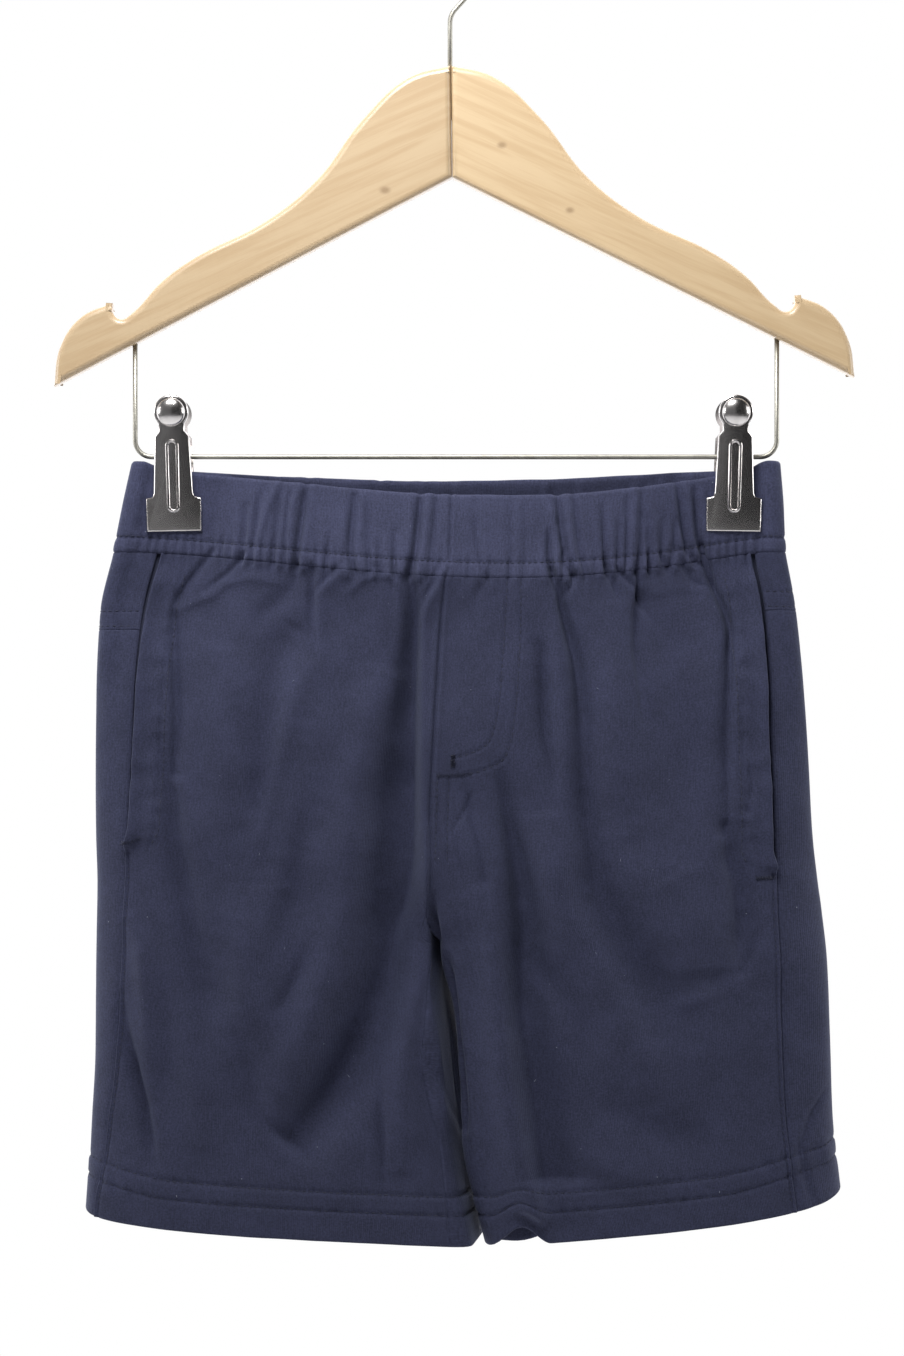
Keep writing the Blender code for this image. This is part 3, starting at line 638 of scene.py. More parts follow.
        edge = self.seam_gap / 2.0
        seam = out_to(level.seam * half.outward)
        rolled = level.roll >= self.least_roll
        inseam = out_to(inner + level.roll) if rolled else 0.0
        if face is Face.FRONT:
            first, last = inseam + edge, seam - edge
            turn = out_to(inner + (level.roll + reach))
            knots, width = [0.0, kept, 1.0], (last - turn) / (1.0 - kept)
        else:
            first, last = seam + edge, loop.total + inseam - edge
            turn = crossing(inner + reach - out[arc:], loop.run[arc:])
            knots, width = [0.0, 1.0 - kept, 1.0], (turn - first) / (1.0 - kept)
        at = np.interp(np.linspace(0.0, 1.0, self.columns + 1), knots, [first, turn, last])
        if loop.closed or rolled:
            at = np.where(at > loop.total, at - loop.total, at)
        if loop.closed:
            at = np.where(at < 0.0, at + loop.total, at)
        x, y, nx, ny = loop.read(at)
        to_side = np.abs(at - loop.run[arc])
        apart = np.where(to_side > self.side_share * loop.total, 2.0 * np.abs(y), to_side)
        return np.stack([x, y, nx * half.outward, ny * half.outward, apart], axis=1), width

    def table(self, half: Half, face: Face) -> FaceTable:
        """Works out the places of one face of a half."""
        rows = [self.table_row(half, face, i / self.rows) for i in range(self.rows + 1)]
        return FaceTable(np.array([places for places, _ in rows]), np.array([width for _, width in rows]))


# ---------------------------------------------------------------- creases of the front
class Gather(NamedTuple):
    """A crease of the waistband: X where it starts, at the stitching row and at the seam."""

    up: float
    start_x: float
    row_x: float
    seam_x: float
    depth: float
    width: float


# up is the share of the band's height at which the crease starts, 1 at the top edge.
GATHERS = [
    Gather(0.65, -86.0, -86.4, -88.1, 0.8, 1.2),
    Gather(0.78, -80.5, -82.2, -83.5, 0.8, 1.1),
    Gather(0.95, -71.3, -73.6, -74.4, 0.6, 1.1),
    Gather(0.82, -67.5, -69.1, -69.4, 0.8, 1.0),
    Gather(0.97, -60.8, -64.2, -65.0, 1.4, 1.3),
    Gather(0.40, -50.7, -51.5, -52.2, 0.5, 1.0),
    Gather(0.90, -40.4, -42.0, -40.0, 1.2, 1.3),
    Gather(0.80, -34.8, -34.8, -34.4, 0.5, 1.1),
    Gather(0.35, -30.2, -30.0, -29.4, 0.5, 1.0),
    Gather(0.50, -23.3, -23.6, -22.9, 0.6, 1.1),
    Gather(1.00, -12.2, -15.1, -17.4, 1.4, 1.3),
    Gather(1.00, -5.4, -8.4, -9.2, 0.7, 1.1),
    Gather(0.90, 10.5, 9.0, 8.0, 0.35, 1.8),
    Gather(0.65, 10.9, 12.8, 15.4, 0.45, 1.0),
    Gather(0.95, 25.9, 25.6, 25.4, 0.30, 1.2),
    Gather(0.85, 31.6, 31.6, 31.6, 0.30, 1.2),
    Gather(0.55, 42.0, 42.3, 43.4, 1.1, 1.2),
    Gather(1.00, 45.3, 49.0, 52.0, 1.4, 1.3),
    Gather(0.30, 48.3, 47.0, 47.4, 0.6, 0.9),
    Gather(0.95, 52.2, 55.2, 56.9, 0.7, 1.1),
    Gather(0.80, 64.2, 65.8, 66.9, 0.8, 1.1),
    Gather(0.65, 71.3, 70.9, 71.3, 0.6, 1.0),
    Gather(0.85, 74.7, 74.7, 73.8, 0.6, 1.0),
    Gather(0.95, 81.0, 80.4, 78.9, 1.1, 1.2),
    Gather(0.60, 83.1, 84.2, 84.8, 0.9, 1.0),
    Gather(0.55, 89.6, 89.6, 90.9, 0.6, 1.0),
    Gather(0.55, 95.2, 95.0, 93.1, 0.7, 1.0),
    Gather(0.95, 96.1, 100.8, 104.5, 1.3, 1.2),
    Gather(0.20, 96.5, 96.8, 98.6, 0.5, 0.9),
    Gather(0.85, 104.0, 106.0, 107.8, 1.1, 1.2),
]

# X of the short gathers between the stitching row and the seam.
PUCKERS = (
    -132.0, -128.0, -124.5, -120.0, -116.5, -112.0, -108.5, -105.0, -100.5,
    -96.5, -92.5, -88.0, -83.5, -79.0, -74.5, -65.0, -60.0, -56.0, -52.0, -48.0, -45.0, -40.0, -34.0,
    -30.0, -27.5, -23.5, -17.0, -14.5, -11.5, -9.0, -6.5, -4.0, 4.5, 7.5, 10.5, 13.0, 16.5, 25.0, 30.5,
    43.5, 47.5, 51.5, 56.5, 61.0, 66.0, 71.0, 74.5, 77.5, 80.5, 85.0, 90.0, 93.0, 97.5, 100.0, 103.0,
    107.5, 111.0, 115.0, 118.5, 122.0, 126.0, 130.5,
)  # fmt: skip

# Rows after the points: depth, share of it held along the line, widths on the -X and on the +X side.
FRONT_CREASES = [
    # wearer's right: the deep trough beside the fly, its lit edge, and the lit fold above it
    Crease([(-17, -288), (-15.2, -302), (-14.6, -315), (-15.2, -335), (-15.6, -360), (-15.8, -385),
           (-16, -406), (-17, -421), (-19.5, -440), (-25, -460), (-32, -478), (-40, -493), (-48, -506),
           (-57, -518), (-66, -530)], 13.5, (0.12, 0.5, 0.85, 1.0, 1.0, 1.0, 1.0, 0.95, 0.5),
           (2.5, 6, 12, 18, 20, 15, 11, 8), (2.2, 2.6, 3.0, 3.2, 5, 10, 12, 12)),
    Crease([(-1, -288), (-4.5, -296), (-10, -306.5), (-12, -318), (-12.3, -345), (-12.2, -380),
           (-11.8, -400), (-11, -428)], -1.30, (0.8, 1, 1, 1, 0.8, 0.4), (1.6,), (2.4,)),
    Crease([(-26, -335), (-33, -352), (-38, -370), (-41, -390), (-42, -410), (-43, -430), (-49, -452),
           (-56, -470), (-62, -487), (-68, -503), (-74, -518)], -5.1, (0.2, 0.7, 1, 1, 0.9, 0.2), (8.5,)),
    Crease([(-31, -478), (-29, -503), (-28, -520), (-27.5, -531), (-28, -545), (-28.5, -556)], 1.5,
           (0.05, 0.2, 0.9, 1, 0.7, 0.2), (3.0,), (1.6,)),
    Crease([(-60, -450), (-67.5, -468), (-74, -475)], 1.7, (0.3, 1, 0.2), (3.6,)),
    # wearer's right: beside the pocket
    Crease([(-101, -282), (-108, -291), (-115, -301), (-117.3, -308), (-117, -325), (-116.5, -340),
           (-116, -357), (-116.5, -375)], 3.6, (0.35, 0.5, 0.8, 1, 1, 0.9, 0.6), (1.5,), (1.8, 3, 5, 6)),
    Crease([(-124, -354), (-121.5, -366), (-118.5, -379), (-116.5, -389), (-116, -400), (-114, -412),
           (-112, -425), (-109, -440), (-105.5, -455), (-101.5, -470), (-97, -482)], 5.2,
           (0.1, 0.4, 0.8, 0.9, 1, 1, 0.9, 0.6, 0), (3.0, 3.2, 4, 5, 6, 6, 6, 6),
           (3.6, 4.4, 5, 6, 7, 7, 7)),
    Crease([(-133, -436), (-129, -448), (-126.5, -475), (-125.5, -500), (-125, -515)], -3.6,
           (0.3, 1, 1, 0.8, 0), (5.5,)),
    Crease([(-137.5, -470), (-136, -485), (-132.5, -499), (-129.5, -511), (-127, -523), (-124, -538)], 3.8,
           (0.2, 0.6, 1, 1, 0.9, 0.2), (3.0,), (2.2,)),
    # wearer's right: below the gathers
    Crease([(-86.5, -283), (-93, -290), (-98, -294), (-102, -297)], 1.2, (1, 1, 1, 0.4), (1.4,)),
    Crease([(-66, -296.5), (-84, -293.5), (-94, -295.5), (-100, -300), (-116, -306)], -0.9,
           (0.2, 0.8, 1, 1, 0.8), (2.4,), (1.8,)),
    Crease([(-58, -290), (-58, -309), (-57.3, -320)], 2.0, (1, 1, 0.5, 0), (2.2,), (1.3,)),
    Crease([(-45.4, -291), (-54.3, -300), (-54.8, -310), (-54.6, -322), (-53, -338)], -1.30,
           (0.7, 1, 1, 0.8, 0.2), (1.4,), (3.2,)),
    Crease([(-49, -290), (-56, -298)], 1.04, (1, 0.4), (1.4,)),
    Crease([(-65, -288), (-65.6, -295)], 1.30, (1, 0.3), (1.3,)),
    Crease([(-64, -293), (-72, -303), (-82, -311)], 1.8, (0.6, 1, 0.4), (4.5,)),
    Crease([(-66, -315), (-73, -329), (-76, -345), (-76, -365), (-78, -390), (-76, -420)], 3.9,
           (0.4, 1, 1, 0.8, 0.6, 0.3), (8.0,)),
    Crease([(-60, -330), (-67, -350), (-73, -375), (-78, -395), (-82, -410)], -2.2, (0.4, 1, 1, 1, 0.3),
           (4.6,)),
    Crease([(-95, -325), (-96, -345), (-95, -370), (-93, -395)], -2.8, (0.3, 1, 1, 0.3), (9.0,)),
    Crease([(-31, -289), (-29.5, -292)], 1.04, (1,), (2.2,)),
    Crease([(-41, -298), (-34, -293), (-26, -292.5), (-22, -297), (-21.5, -310), (-22.5, -325)], -1.17,
           (0.5, 1, 1, 1, 0.9, 0.2), (1.8,)),
    Crease([(-6.3, -291), (-8, -297), (-11, -303)], 1.17, (1, 0.8, 0.3), (1.6,)),
    # wearer's left: the folds below the waist, from the fly outwards
    Crease([(14.5, -294), (11, -303), (12, -312)], 0.91, (1, 1, 0.2), (2.2,)),
    Crease([(43.5, -291), (46, -300), (48, -309), (50.4, -319), (52.5, -328), (54.3, -340), (55.3, -352),
           (56, -366), (57, -382), (59, -400), (62, -420), (67, -433), (76, -448), (88, -466), (103, -488)],
           6.3, (0.4, 0.9, 0.8, 0.7, 0.8, 0.9, 0.8, 0.6, 0.1), (1.6, 2.6, 5, 7, 9, 10),
           (1.8, 4, 6, 9, 10, 11)),
    Crease([(52.5, -293), (49, -299.5)], 1.30, (1, 0.7), (1.5,)),
    Crease([(35, -316), (39, -326), (39.8, -340), (40.4, -352), (41.6, -364), (43.5, -374), (45, -386)],
           3.4, (0.1, 0.8, 1, 1, 0.9, 0.6, 0.1), (4.2,), (2.8,)),
    Crease([(44.5, -315), (46, -335), (48.5, -355), (50, -372)], -1.30, (0.2, 1, 1, 0.2), (2.6,)),
    Crease([(20, -372), (21.8, -380), (24, -393), (27.5, -411), (30, -429), (31, -441), (30, -455),
           (30, -474), (34, -495), (38, -520), (40, -545)], 9.6,
           (0.05, 0.5, 0.9, 1, 1, 1, 0.95, 0.9, 0.85, 0.7), (3, 4.5, 5.5, 6.5, 7, 7),
           (5, 7, 9, 11, 13, 15)),
    Crease([(15, -425), (19.5, -455), (22, -478), (24, -500), (28, -525), (32, -545), (36, -562)], -6.4,
           (0.2, 0.8, 1, 1, 1, 0.8), (8.5,), (4.8,)),
    Crease([(7, -381), (8.2, -388), (9.3, -396), (12, -407), (14.4, -418), (17, -440)], 1.8,
           (0.3, 1, 0.9, 0.8, 0.5, 0), (2.6,), (2.0,)),
    Crease([(8.2, -386), (5.5, -392), (2.4, -397)], 0.91, (0.6, 1, 0.6), (1.2,)),
    Crease([(66.5, -289), (69.5, -297), (71.3, -303)], 2.5, (1, 1, 0.3), (1.4,)),
    Crease([(71.3, -290), (75.5, -294.5), (79, -297.5)], 1.30, (1, 1, 0.6), (1.2,)),
    Crease([(80.3, -291), (80.3, -300), (82, -304), (85.7, -311)], 2.6, (1, 1, 0.8, 0.2), (1.3,)),
    Crease([(80, -301), (78.5, -309), (78.2, -321), (79, -331), (80.3, -341), (81, -352)], 3.2,
           (1, 1, 0.9, 0.7, 0.3), (1.4,), (4.0,)),
    Crease([(90, -303), (94, -330), (96, -360), (97, -390), (96, -410)], 4.2, (0.3, 1, 1, 0.8, 0.2),
           (12.0,), (14.0,)),
    Crease([(68, -306), (70, -340), (72, -370), (75, -400)], -3.0, (0.3, 1, 1, 0.3), (8.5,)),
    Crease([(91, -286), (93, -293)], 1.04, (1, 0.3), (1.3,)),
    Crease([(84.8, -288), (86, -294)], 1.04, (1, 0.3), (1.3,)),
    Crease([(100, -287), (103, -294.5), (110, -297)], 1.30, (1, 1, 0.3), (1.5,)),
    Crease([(107.5, -281), (111.5, -295), (115, -303), (117.5, -309), (119.3, -317), (118.8, -335),
           (118, -360), (117.5, -390), (116.5, -400)], 5.2, (0.7, 1, 1, 0.9, 0.7, 0.7, 0.7, 0.5, 0.3),
           (1.5, 2.2, 4.5, 6, 6), (1.6,)),
    Crease([(122.5, -390.5), (116.3, -397)], 0.7, (0.6, 0.4), (1.9,)),
    Crease([(126, -371), (126.5, -381), (125.3, -391)], 1.17, (0.3, 1, 0.8), (1.2,)),
    Crease([(126, -392), (129, -398)], 0.78, (1, 0.4), (1.2,)),
    Crease([(117, -398), (118, -412), (121, -424), (122, -440), (122, -458)], 4.5, (0.5, 1, 1, 0.9, 0.3),
           (4.0,), (5.5,)),
    Crease([(131, -441), (128, -448), (123, -458)], 1.17, (0.3, 1, 0.6), (2.2,)),
    Crease([(93, -476), (98, -472), (107.6, -469), (116, -466)], -1.04, (0.2, 1, 1, 0.2), (3.2,)),
    Crease([(95, -420), (104, -440), (106, -456)], -3.6, (0.4, 1, 0.6), (12.0,)),
    Crease([(40, -395), (46, -429), (53, -442), (64, -461), (74, -480), (84, -498), (90, -515)], -3.9,
           (0.3, 1, 1, 1, 0.8, 0.2), (7.5,)),
    Crease([(36, -452), (41, -459), (49.5, -472), (56, -484), (60, -500)], 2.8, (0.3, 1, 1, 0.9, 0.2),
           (6.0,)),
    Crease([(70, -400), (82, -425), (94, -448), (106, -476), (112, -500)], -2.4, (0.2, 1, 1, 0.8, 0.1),
           (7.0,)),
    Crease([(60, -505), (74, -520), (92, -528), (112, -527)], 2.7, (0.2, 1, 1, 0.1), (9.0,)),
    Crease([(50, -525), (66, -540), (84, -545)], -1.8, (0.2, 1, 0.2), (6.0,)),
    Crease([(4.4, -421), (9.5, -438), (14, -455), (18, -470)], 0.65, (0.3, 1, 0.8, 0.1), (1.5,)),
    Crease([(1.5, -425), (5.7, -442), (10.8, -458), (16, -474)], 0.72, (0.3, 0.8, 1, 0.1), (1.5,)),
    Crease([(1.2, -398), (5, -412), (9.6, -427), (13, -441), (16, -452)], 0.65, (0.2, 1, 0.6, 1, 0.1),
           (1.4,)),
    # wearer's right: broad unevenness of the thigh and of the lower leg
    Crease([(-100, -320), (-92, -350), (-84, -380), (-86, -410)], 2.4, (0.1, 1, 1, 0.2), (6.0,), (8.0,)),
    Crease([(-86, -420), (-84, -450), (-90, -480), (-96, -510)], -3.6, (0.2, 1, 1, 0.2), (9.0,), (10.0,)),
    Crease([(-100, -440), (-92, -480), (-80, -515), (-72, -540)], 3.0, (0.2, 1, 0.9, 0.1), (7.0,), (6.0,)),
    Crease([(-112, -470), (-108, -500), (-104, -530)], -2.2, (0.2, 1, 0.3), (6.0,)),
    Crease([(-58, -380), (-62, -410), (-70, -440), (-80, -462)], 2.5, (0.2, 1, 1, 0.2), (6.0,), (8.0,)),
    Crease([(-42, -520), (-46, -535), (-44, -552)], -2.0, (0.3, 1, 0.6), (7.0,)),
    Crease([(-8, -440), (-16, -470), (-20, -505), (-20, -540)], -3.0, (0.2, 1, 1, 0.5), (6.0,), (5.0,)),
    # at the side seams and hems
    Crease([(158, -510), (151.5, -521.5), (148.5, -530)], 1.17, (0.5, 1, 0.8), (1.3,)),
    Crease([(147, -533), (149.5, -545), (152, -554)], 1.30, (0.8, 1, 0.6), (1.3,)),
    Crease([(13.4, -540), (14.5, -548), (15, -556)], 1.17, (0.4, 1, 0.6), (2.2,)),
    # between the legs
    Crease([(-7.4, -429), (-6.4, -438), (-5.8, -446), (-5.8, -455), (-6.8, -463)], 5.0,
           (0.2, 1, 1, 0.8, 0.1), (1.7,), (1.5,)),
    Crease([(-4.5, -458), (-5, -475), (-5, -492), (-3, -508), (0, -522)], -3.0, (0.3, 1, 1, 1, 0.4), (3.2,),
           (2.4,)),
    Crease([(-2.0, -449), (-0.4, -466), (1.8, -487), (3.8, -506), (5.4, -524)], 8.0, (0.0, 0.7, 1, 1, 0.4),
           (1.3,), (1.8,)),
    Crease([(-9.6, -400), (-9.8, -432), (-9.4, -465), (-9.9, -480), (-11.4, -497), (-7.4, -508),
           (-5.8, -518), (-3.4, -530), (-1, -548)], -1.3, (0.6, 1, 1, 1, 1, 1, 0.6), (1.5,)),
    Crease([(-10.5, -491), (-6, -501), (-1.7, -510.7)], 1.5, (0.3, 1, 0.8), (1.2,)),
    Crease([(-1.7, -513), (3, -521), (6.3, -529.5)], 1.5, (0.5, 1, 0.8), (1.2,)),
    # the centre seams of the panels and of the band, and the band's lit folds
    Crease([(-2, -292), (-3.6, -310), (-5.5, -340), (-7.3, -370), (-8.2, -390), (-8.6, -424)], 1.1,
           (1, 1, 1, 0.9, 0.6), (0.9,), (), (0.4, 0.5), 1.5),
    Crease([(0.6, -257), (0, -275), (-0.6, -291)], 0.6, (1,), (0.8,), (), (0.6, 0.6), 1.5),
    Crease([(-71.3, -252), (-76, -262), (-79.5, -275), (-80.5, -283)], -1.2, (0.3, 1, 1, 0.5), (2.2,),
           (1.5,)),
    Crease([(-61.7, -253), (-66.5, -264), (-68.5, -278)], -1.1, (0.3, 1, 0.6), (2.2,), (1.5,)),
    Crease([(-98, -249), (-99, -262), (-101, -276)], 0.8, (0.3, 1, 0.6), (2.4,)),
    Crease([(20, -258), (19, -272), (21, -284)], -0.7, (0.5, 1, 0.4), (5.0,)),
]

# Rows of stitching round the stitched-down fly and down to the crotch, on the wearer's left.
FLY_ROWS = [
    [(24, -294.2), (23.5, -306.4), (21.8, -331.5), (20.6, -345), (16.8, -361.3), (10.9, -365.9),
     (1.3, -368.9)],
    [(29.8, -294.2), (29.8, -306.4), (28.5, -335.3), (26, -359.2), (22.7, -368.9), (13.9, -373.9),
     (7.1, -375.6)],
    [(-0.4, -377.7), (-1.0, -395), (-1.3, -412)],
    [(-5.2, -377.7), (-5.7, -395), (-6.2, -412)],
]

# Bars of dense stitching: at the pocket mouths' lower ends and at the foot of the fly.
BARTACKS = {
    Half.RIGHT: [[(-137.6, -405.0), (-133.0, -404.0), (-129.5, -402.5)]],
    Half.LEFT: [
        [(128.6, -419.5), (136.6, -419.3)],
        [(-5.4, -376.4), (9.2, -375.8)],
        [(1.3, -367.5), (1.2, -373.0)],
    ],
}

# The back isn't seen: plainer folds of the same kind.
BACK_CREASES = [
    Crease([(-30, -296), (-33, -340), (-36, -400)], 8.8, (0.5, 1, 0.6, 0), (4.9,), (6.3,), fade=9),
    Crease([(28, -294), (30, -350), (32, -420)], 9.2, (0.6, 1, 0.5, 0), (6.3,), (4.9,), fade=9),
    Crease([(-96, -296), (-94, -340), (-88, -390)], 6.4, (0.6, 1, 0.4, 0), (3.5,), (5.6,), fade=9),
    Crease([(92, -296), (98, -350), (104, -400)], 6.4, (0.6, 1, 0.4, 0), (5.6,), (3.5,), fade=9),
    Crease([(-14, -430), (-40, -480), (-66, -545)], 7.2, (0.2, 1, 0.7, 0.2), (7.0,), (10.5,), fade=9),
    Crease([(14, -430), (44, -480), (80, -545)], 7.2, (0.2, 1, 0.7, 0.2), (10.5,), (7.0,), fade=9),
    Crease([(-118, -420), (-104, -480)], 5.2, (0.2, 1, 0.2), (4.9,), fade=9),
    Crease([(122, -410), (112, -490)], 5.2, (0.2, 1, 0.2), (4.9,), fade=9),
]


@dataclass
class Waistline:
    """Gathers of the elastic waist, shared by the band and by the panels under it."""

    form: GarmentForm
    band_height: float = 35.0
    row_up: float = 0.185
    seam_up: float = -0.02
    strength: float = 1.75
    widen: float = 1.35
    held: Sequence[float] = (0.5, 0.85, 1.0, 1.0, 1.0)
    lip: float = 0.4
    fade: float = 1.8
    pucker_depth: float = 0.72
    pucker_width: float = 1.1
    pucker_held: Sequence[float] = (0.5, 1.0, 0.9, 0.5, 0.1)
    pucker_lip: float = 0.3
    pucker_fade: float = 1.5
    pucker_above: float = 1.6
    pucker_below: float = 6.0
    front_seed: int = 5
    back_seed: int = 11
    back_from: float = -104.0
    back_to: float = 102.0

    def height(self, x: float, up: float, face: Face) -> float:
        """Height of a place on the band, up being 0 at the seam and 1 at the top edge."""
        return self.form.waist_z - float(self.form.sag(np.array(x), face)) + self.band_height * up

    def gather(self, row: Gather, face: Face) -> Crease:
        """Makes the crease of one row, with the cloth raised a little on both sides of it.

        Args:
            row: its row.
            face: the face that it is on.

        Returns:
            The crease.
        """
        places = (row.start_x, row.up), (row.row_x, self.row_up), (row.seam_x, self.seam_up)
        points = [(x, self.height(x, up, face)) for x, up in places]
        depth, widths = self.strength * row.depth, (self.widen * row.width,)
        return Crease(points, depth, self.held, widths, (), (self.lip, self.lip), self.fade)

    def pucker(self, x: float, face: Face, depth: float) -> Crease:
        """Makes a short gather across the stitching row.

        Args:
            x: where it is.
            face: the face that it is on.
            depth: how deep it is.

        Returns:
            The crease.
        """
        top = self.height(x, self.row_up, face) + self.pucker_above
        points = [(x, top), (x, self.height(x, 0.0, face) - self.pucker_below)]
        widths, lips = (self.pucker_width,), (self.pucker_lip, self.pucker_lip)
        return Crease(points, depth, self.pucker_held, widths, (), lips, self.pucker_fade)

    def front(self) -> list[Crease]:
        """Gathers as the front shows them.

        Returns:
            The long gathers and the short ones.
        """
        draw = np.random.default_rng(self.front_seed)
        long = [self.gather(row, Face.FRONT) for row in GATHERS]
        short = [self.pucker(x, Face.FRONT, self.pucker_depth * draw.uniform(0.6, 1.3)) for x in PUCKERS]
        return long + short

    def back(self) -> list[Crease]:
        """Similar gathers behind, at uneven steps, flat under the clips.

        Returns:
            The long gathers, the short ones and their tails below the seam.
        """
        draw = np.random.default_rng(self.back_seed)
        creases = []
        x = self.back_from
        while x < self.back_to:
            lean = draw.uniform(-3.0, 3.0)
            up = draw.uniform(0.45, 1.0)
            row = Gather(up, x + lean, x, x - 0.3 * lean, draw.uniform(0.4, 1.2), draw.uniform(1.0, 1.4))
            creases.append(self.gather(row, Face.BACK))
            creases.append(self.pucker(x + draw.uniform(2.5, 5.0), Face.BACK, draw.uniform(0.3, 0.7)))
            tail = self.height(x, -0.35 * draw.uniform(0.3, 1.0), Face.BACK)
            points = [(x, self.height(x, self.seam_up, Face.BACK)), (x + 0.4 * lean, tail)]
            creases.append(Crease(points, 0.6 * row.depth, (1.0, 0.1), (1.6,)))
            x += draw.uniform(6.0, 11.0)
        return creases


# ---------------------------------------------------------------- meshes
def linked(name: str, data: bpy.types.ID) -> Object:
    """Makes an object of some data and links it to the scene.

    Args:
        name: its name.
        data: its mesh, camera or lamp.

    Returns:
        The object.
    """
    obj = bpy.data.objects.new(name, data)
    bpy.context.scene.collection.objects.link(obj)
    return obj


def new_mesh(name: str, part: Part, material: Material, uv: Array | None = None) -> Object:
    """Makes a smooth-shaded object.

    Args:
        name: the piece's name.
        part: its points and faces.
        material: the finish.
        uv: texture coordinates of each point in millimetres.

    Returns:
        The object, linked to the scene.
    """
    mesh = bpy.data.meshes.new(name)
    mesh.from_pydata((part[0] * MM).tolist(), [], part[1])
    if uv is not None:
        corner = np.empty(len(mesh.loops), np.int32)
        mesh.loops.foreach_get("vertex_index", corner)
        layer = mesh.uv_layers.new(name="cloth")
        layer.data.foreach_set("uv", (uv[corner] * MM).astype(np.float32).ravel())
    mesh.materials.append(material)
    mesh.shade_smooth()
    mesh.validate()
    return linked(name, mesh)


def join_parts(parts: Sequence[Part]) -> Part:
    """Puts parts into one.

    Args:
        parts: their points and faces.

    Returns:
        The points and faces of them all.
    """
    points, faces, first = [], [], 0
    for part_points, part_faces in parts:
        points.append(part_points)
        faces += [[first + k for k in corners] for corners in part_faces]
        first += len(part_points)
    return np.concatenate(points), faces


def ring_faces(first: int, second: int, count: int) -> list[list[int]]:
    """Quads between two rings of count points, each numbered from its first point."""
    around = [(k, (k + 1) % count) for k in range(count)]
    return [[first + k, first + n, second + n, second + k] for k, n in around]


def grid_faces(columns: int, rows: int, first: int) -> Array:
    """Quads of a grid whose points are numbered row by row.

    Args:
        columns: number of steps across.
        rows: number of steps down.
        first: number of the first point.

    Returns:
        One row a quad.
    """
    r, c = (grid.ravel() for grid in np.meshgrid(np.arange(rows), np.arange(columns), indexing="ij"))
    corner = r * (columns + 1) + c + first
    return np.stack([corner, corner + 1, corner + columns + 2, corner + columns + 1], axis=1)


def grid_border(columns: int, rows: int) -> Array:
    """Numbers of the points round a grid's border.

    Args:
        columns: number of steps across.
        rows: number of steps down.

    Returns:
        The numbers, in the direction of the grid's faces.
    """
    wide = columns + 1
    top = np.arange(0, columns)
    right = np.arange(0, rows) * wide + columns
    bottom = rows * wide + np.arange(columns, 0, -1)
    left = np.arange(rows, 0, -1) * wide
    return np.concatenate([top, right, bottom, left])


def rim_faces(outer: Array, inner: Array) -> Array:
    """Triangles between a border and one of half its steps.

    Args:
        outer: numbers of the finer border's points.
        inner: numbers of the coarser one's.

    Returns:
        One row a triangle.
    """
    a, b, c = outer[::2], outer[1::2], np.roll(outer, -2)[::2]
    p, q = inner, np.roll(inner, -1)
    return np.concatenate([np.stack(t, axis=1) for t in ((b, a, p), (b, p, q), (c, b, q))])


def tube(points: Array, radius: float, sides: int, closed: bool = False) -> Part:
    """A round wire along points, without caps.

    Args:
        points: the wire's middle, one row a point.
        radius: its radius.
        sides: how many sides it has.
        closed: whether its end joins its start.

    Returns:
        Points and faces.
    """
    count = len(points)
    tangents = unit(np.roll(points, -1, 0) - np.roll(points, 1, 0) if closed else np.gradient(points, axis=0))
    side = np.cross(tangents[0], (0.31, 0.83, 0.46))  # any direction that no wire here runs in
    angles = 2.0 * math.pi * np.arange(sides) / sides
    rings = []
    for point, tangent in zip(points, tangents):
        side = side - tangent * np.dot(side, tangent)
        side /= np.linalg.norm(side)
        other = np.cross(tangent, side)
        rings.append(point + radius * (np.outer(np.cos(angles), side) + np.outer(np.sin(angles), other)))
    last = count if closed else count - 1
    faces = [face for i in range(last) for face in ring_faces(i * sides, (i + 1) % count * sides, sides)]
    return np.concatenate(rings), faces


def tidy_mesh(mesh: bpy.types.Mesh, flat_axis: int | None = None, angle: float = 35.0) -> None:
    """Welds a mesh, turns its faces out and marks its sharp edges.

    Args:
        mesh: the mesh.
        flat_axis: the axis that its flat faces look along, whose borders are kept sharp.
        angle: edges sharper than this stay sharp, in degrees.
    """
    bm = bmesh.new()
    bm.from_mesh(mesh)
    bmesh.ops.remove_doubles(bm, verts=bm.verts, dist=0.02 * MM)
    bmesh.ops.recalc_face_normals(bm, faces=bm.faces)
    for face in bm.faces:
        face.smooth = True
    for edge in bm.edges:
        sharp = edge.calc_face_angle(0.0) > math.radians(angle)
        if flat_axis is not None and len(edge.link_faces) == 2:
            flats = [abs(face.normal[flat_axis]) > 0.9999 for face in edge.link_faces]
            sharp = sharp or flats[0] != flats[1]
        edge.smooth = not sharp
    bm.to_mesh(mesh)
    bm.free()


def new_wire(name: str, part: Part, material: Material) -> Object:
    """Makes a wire's object and fills its open ends.

    Args:
        name: the piece's name.
        part: its points and faces.
        material: the finish.

    Returns:
        The object, linked to the scene.
    """
    obj = new_mesh(name, part, material)
    bm = bmesh.new()
    bm.from_mesh(obj.data)
    bmesh.ops.holes_fill(bm, edges=[edge for edge in bm.edges if edge.is_boundary])
    bmesh.ops.recalc_face_normals(bm, faces=bm.faces)
    bm.to_mesh(obj.data)
    bm.free()
    return obj


def placed(at: Sequence[float], turn: Sequence[float]) -> Matrix:
    """A place in millimetres after a turn in radians."""
    return Matrix.Translation(Vector(at) * MM) @ Euler(turn).to_matrix().to_4x4()


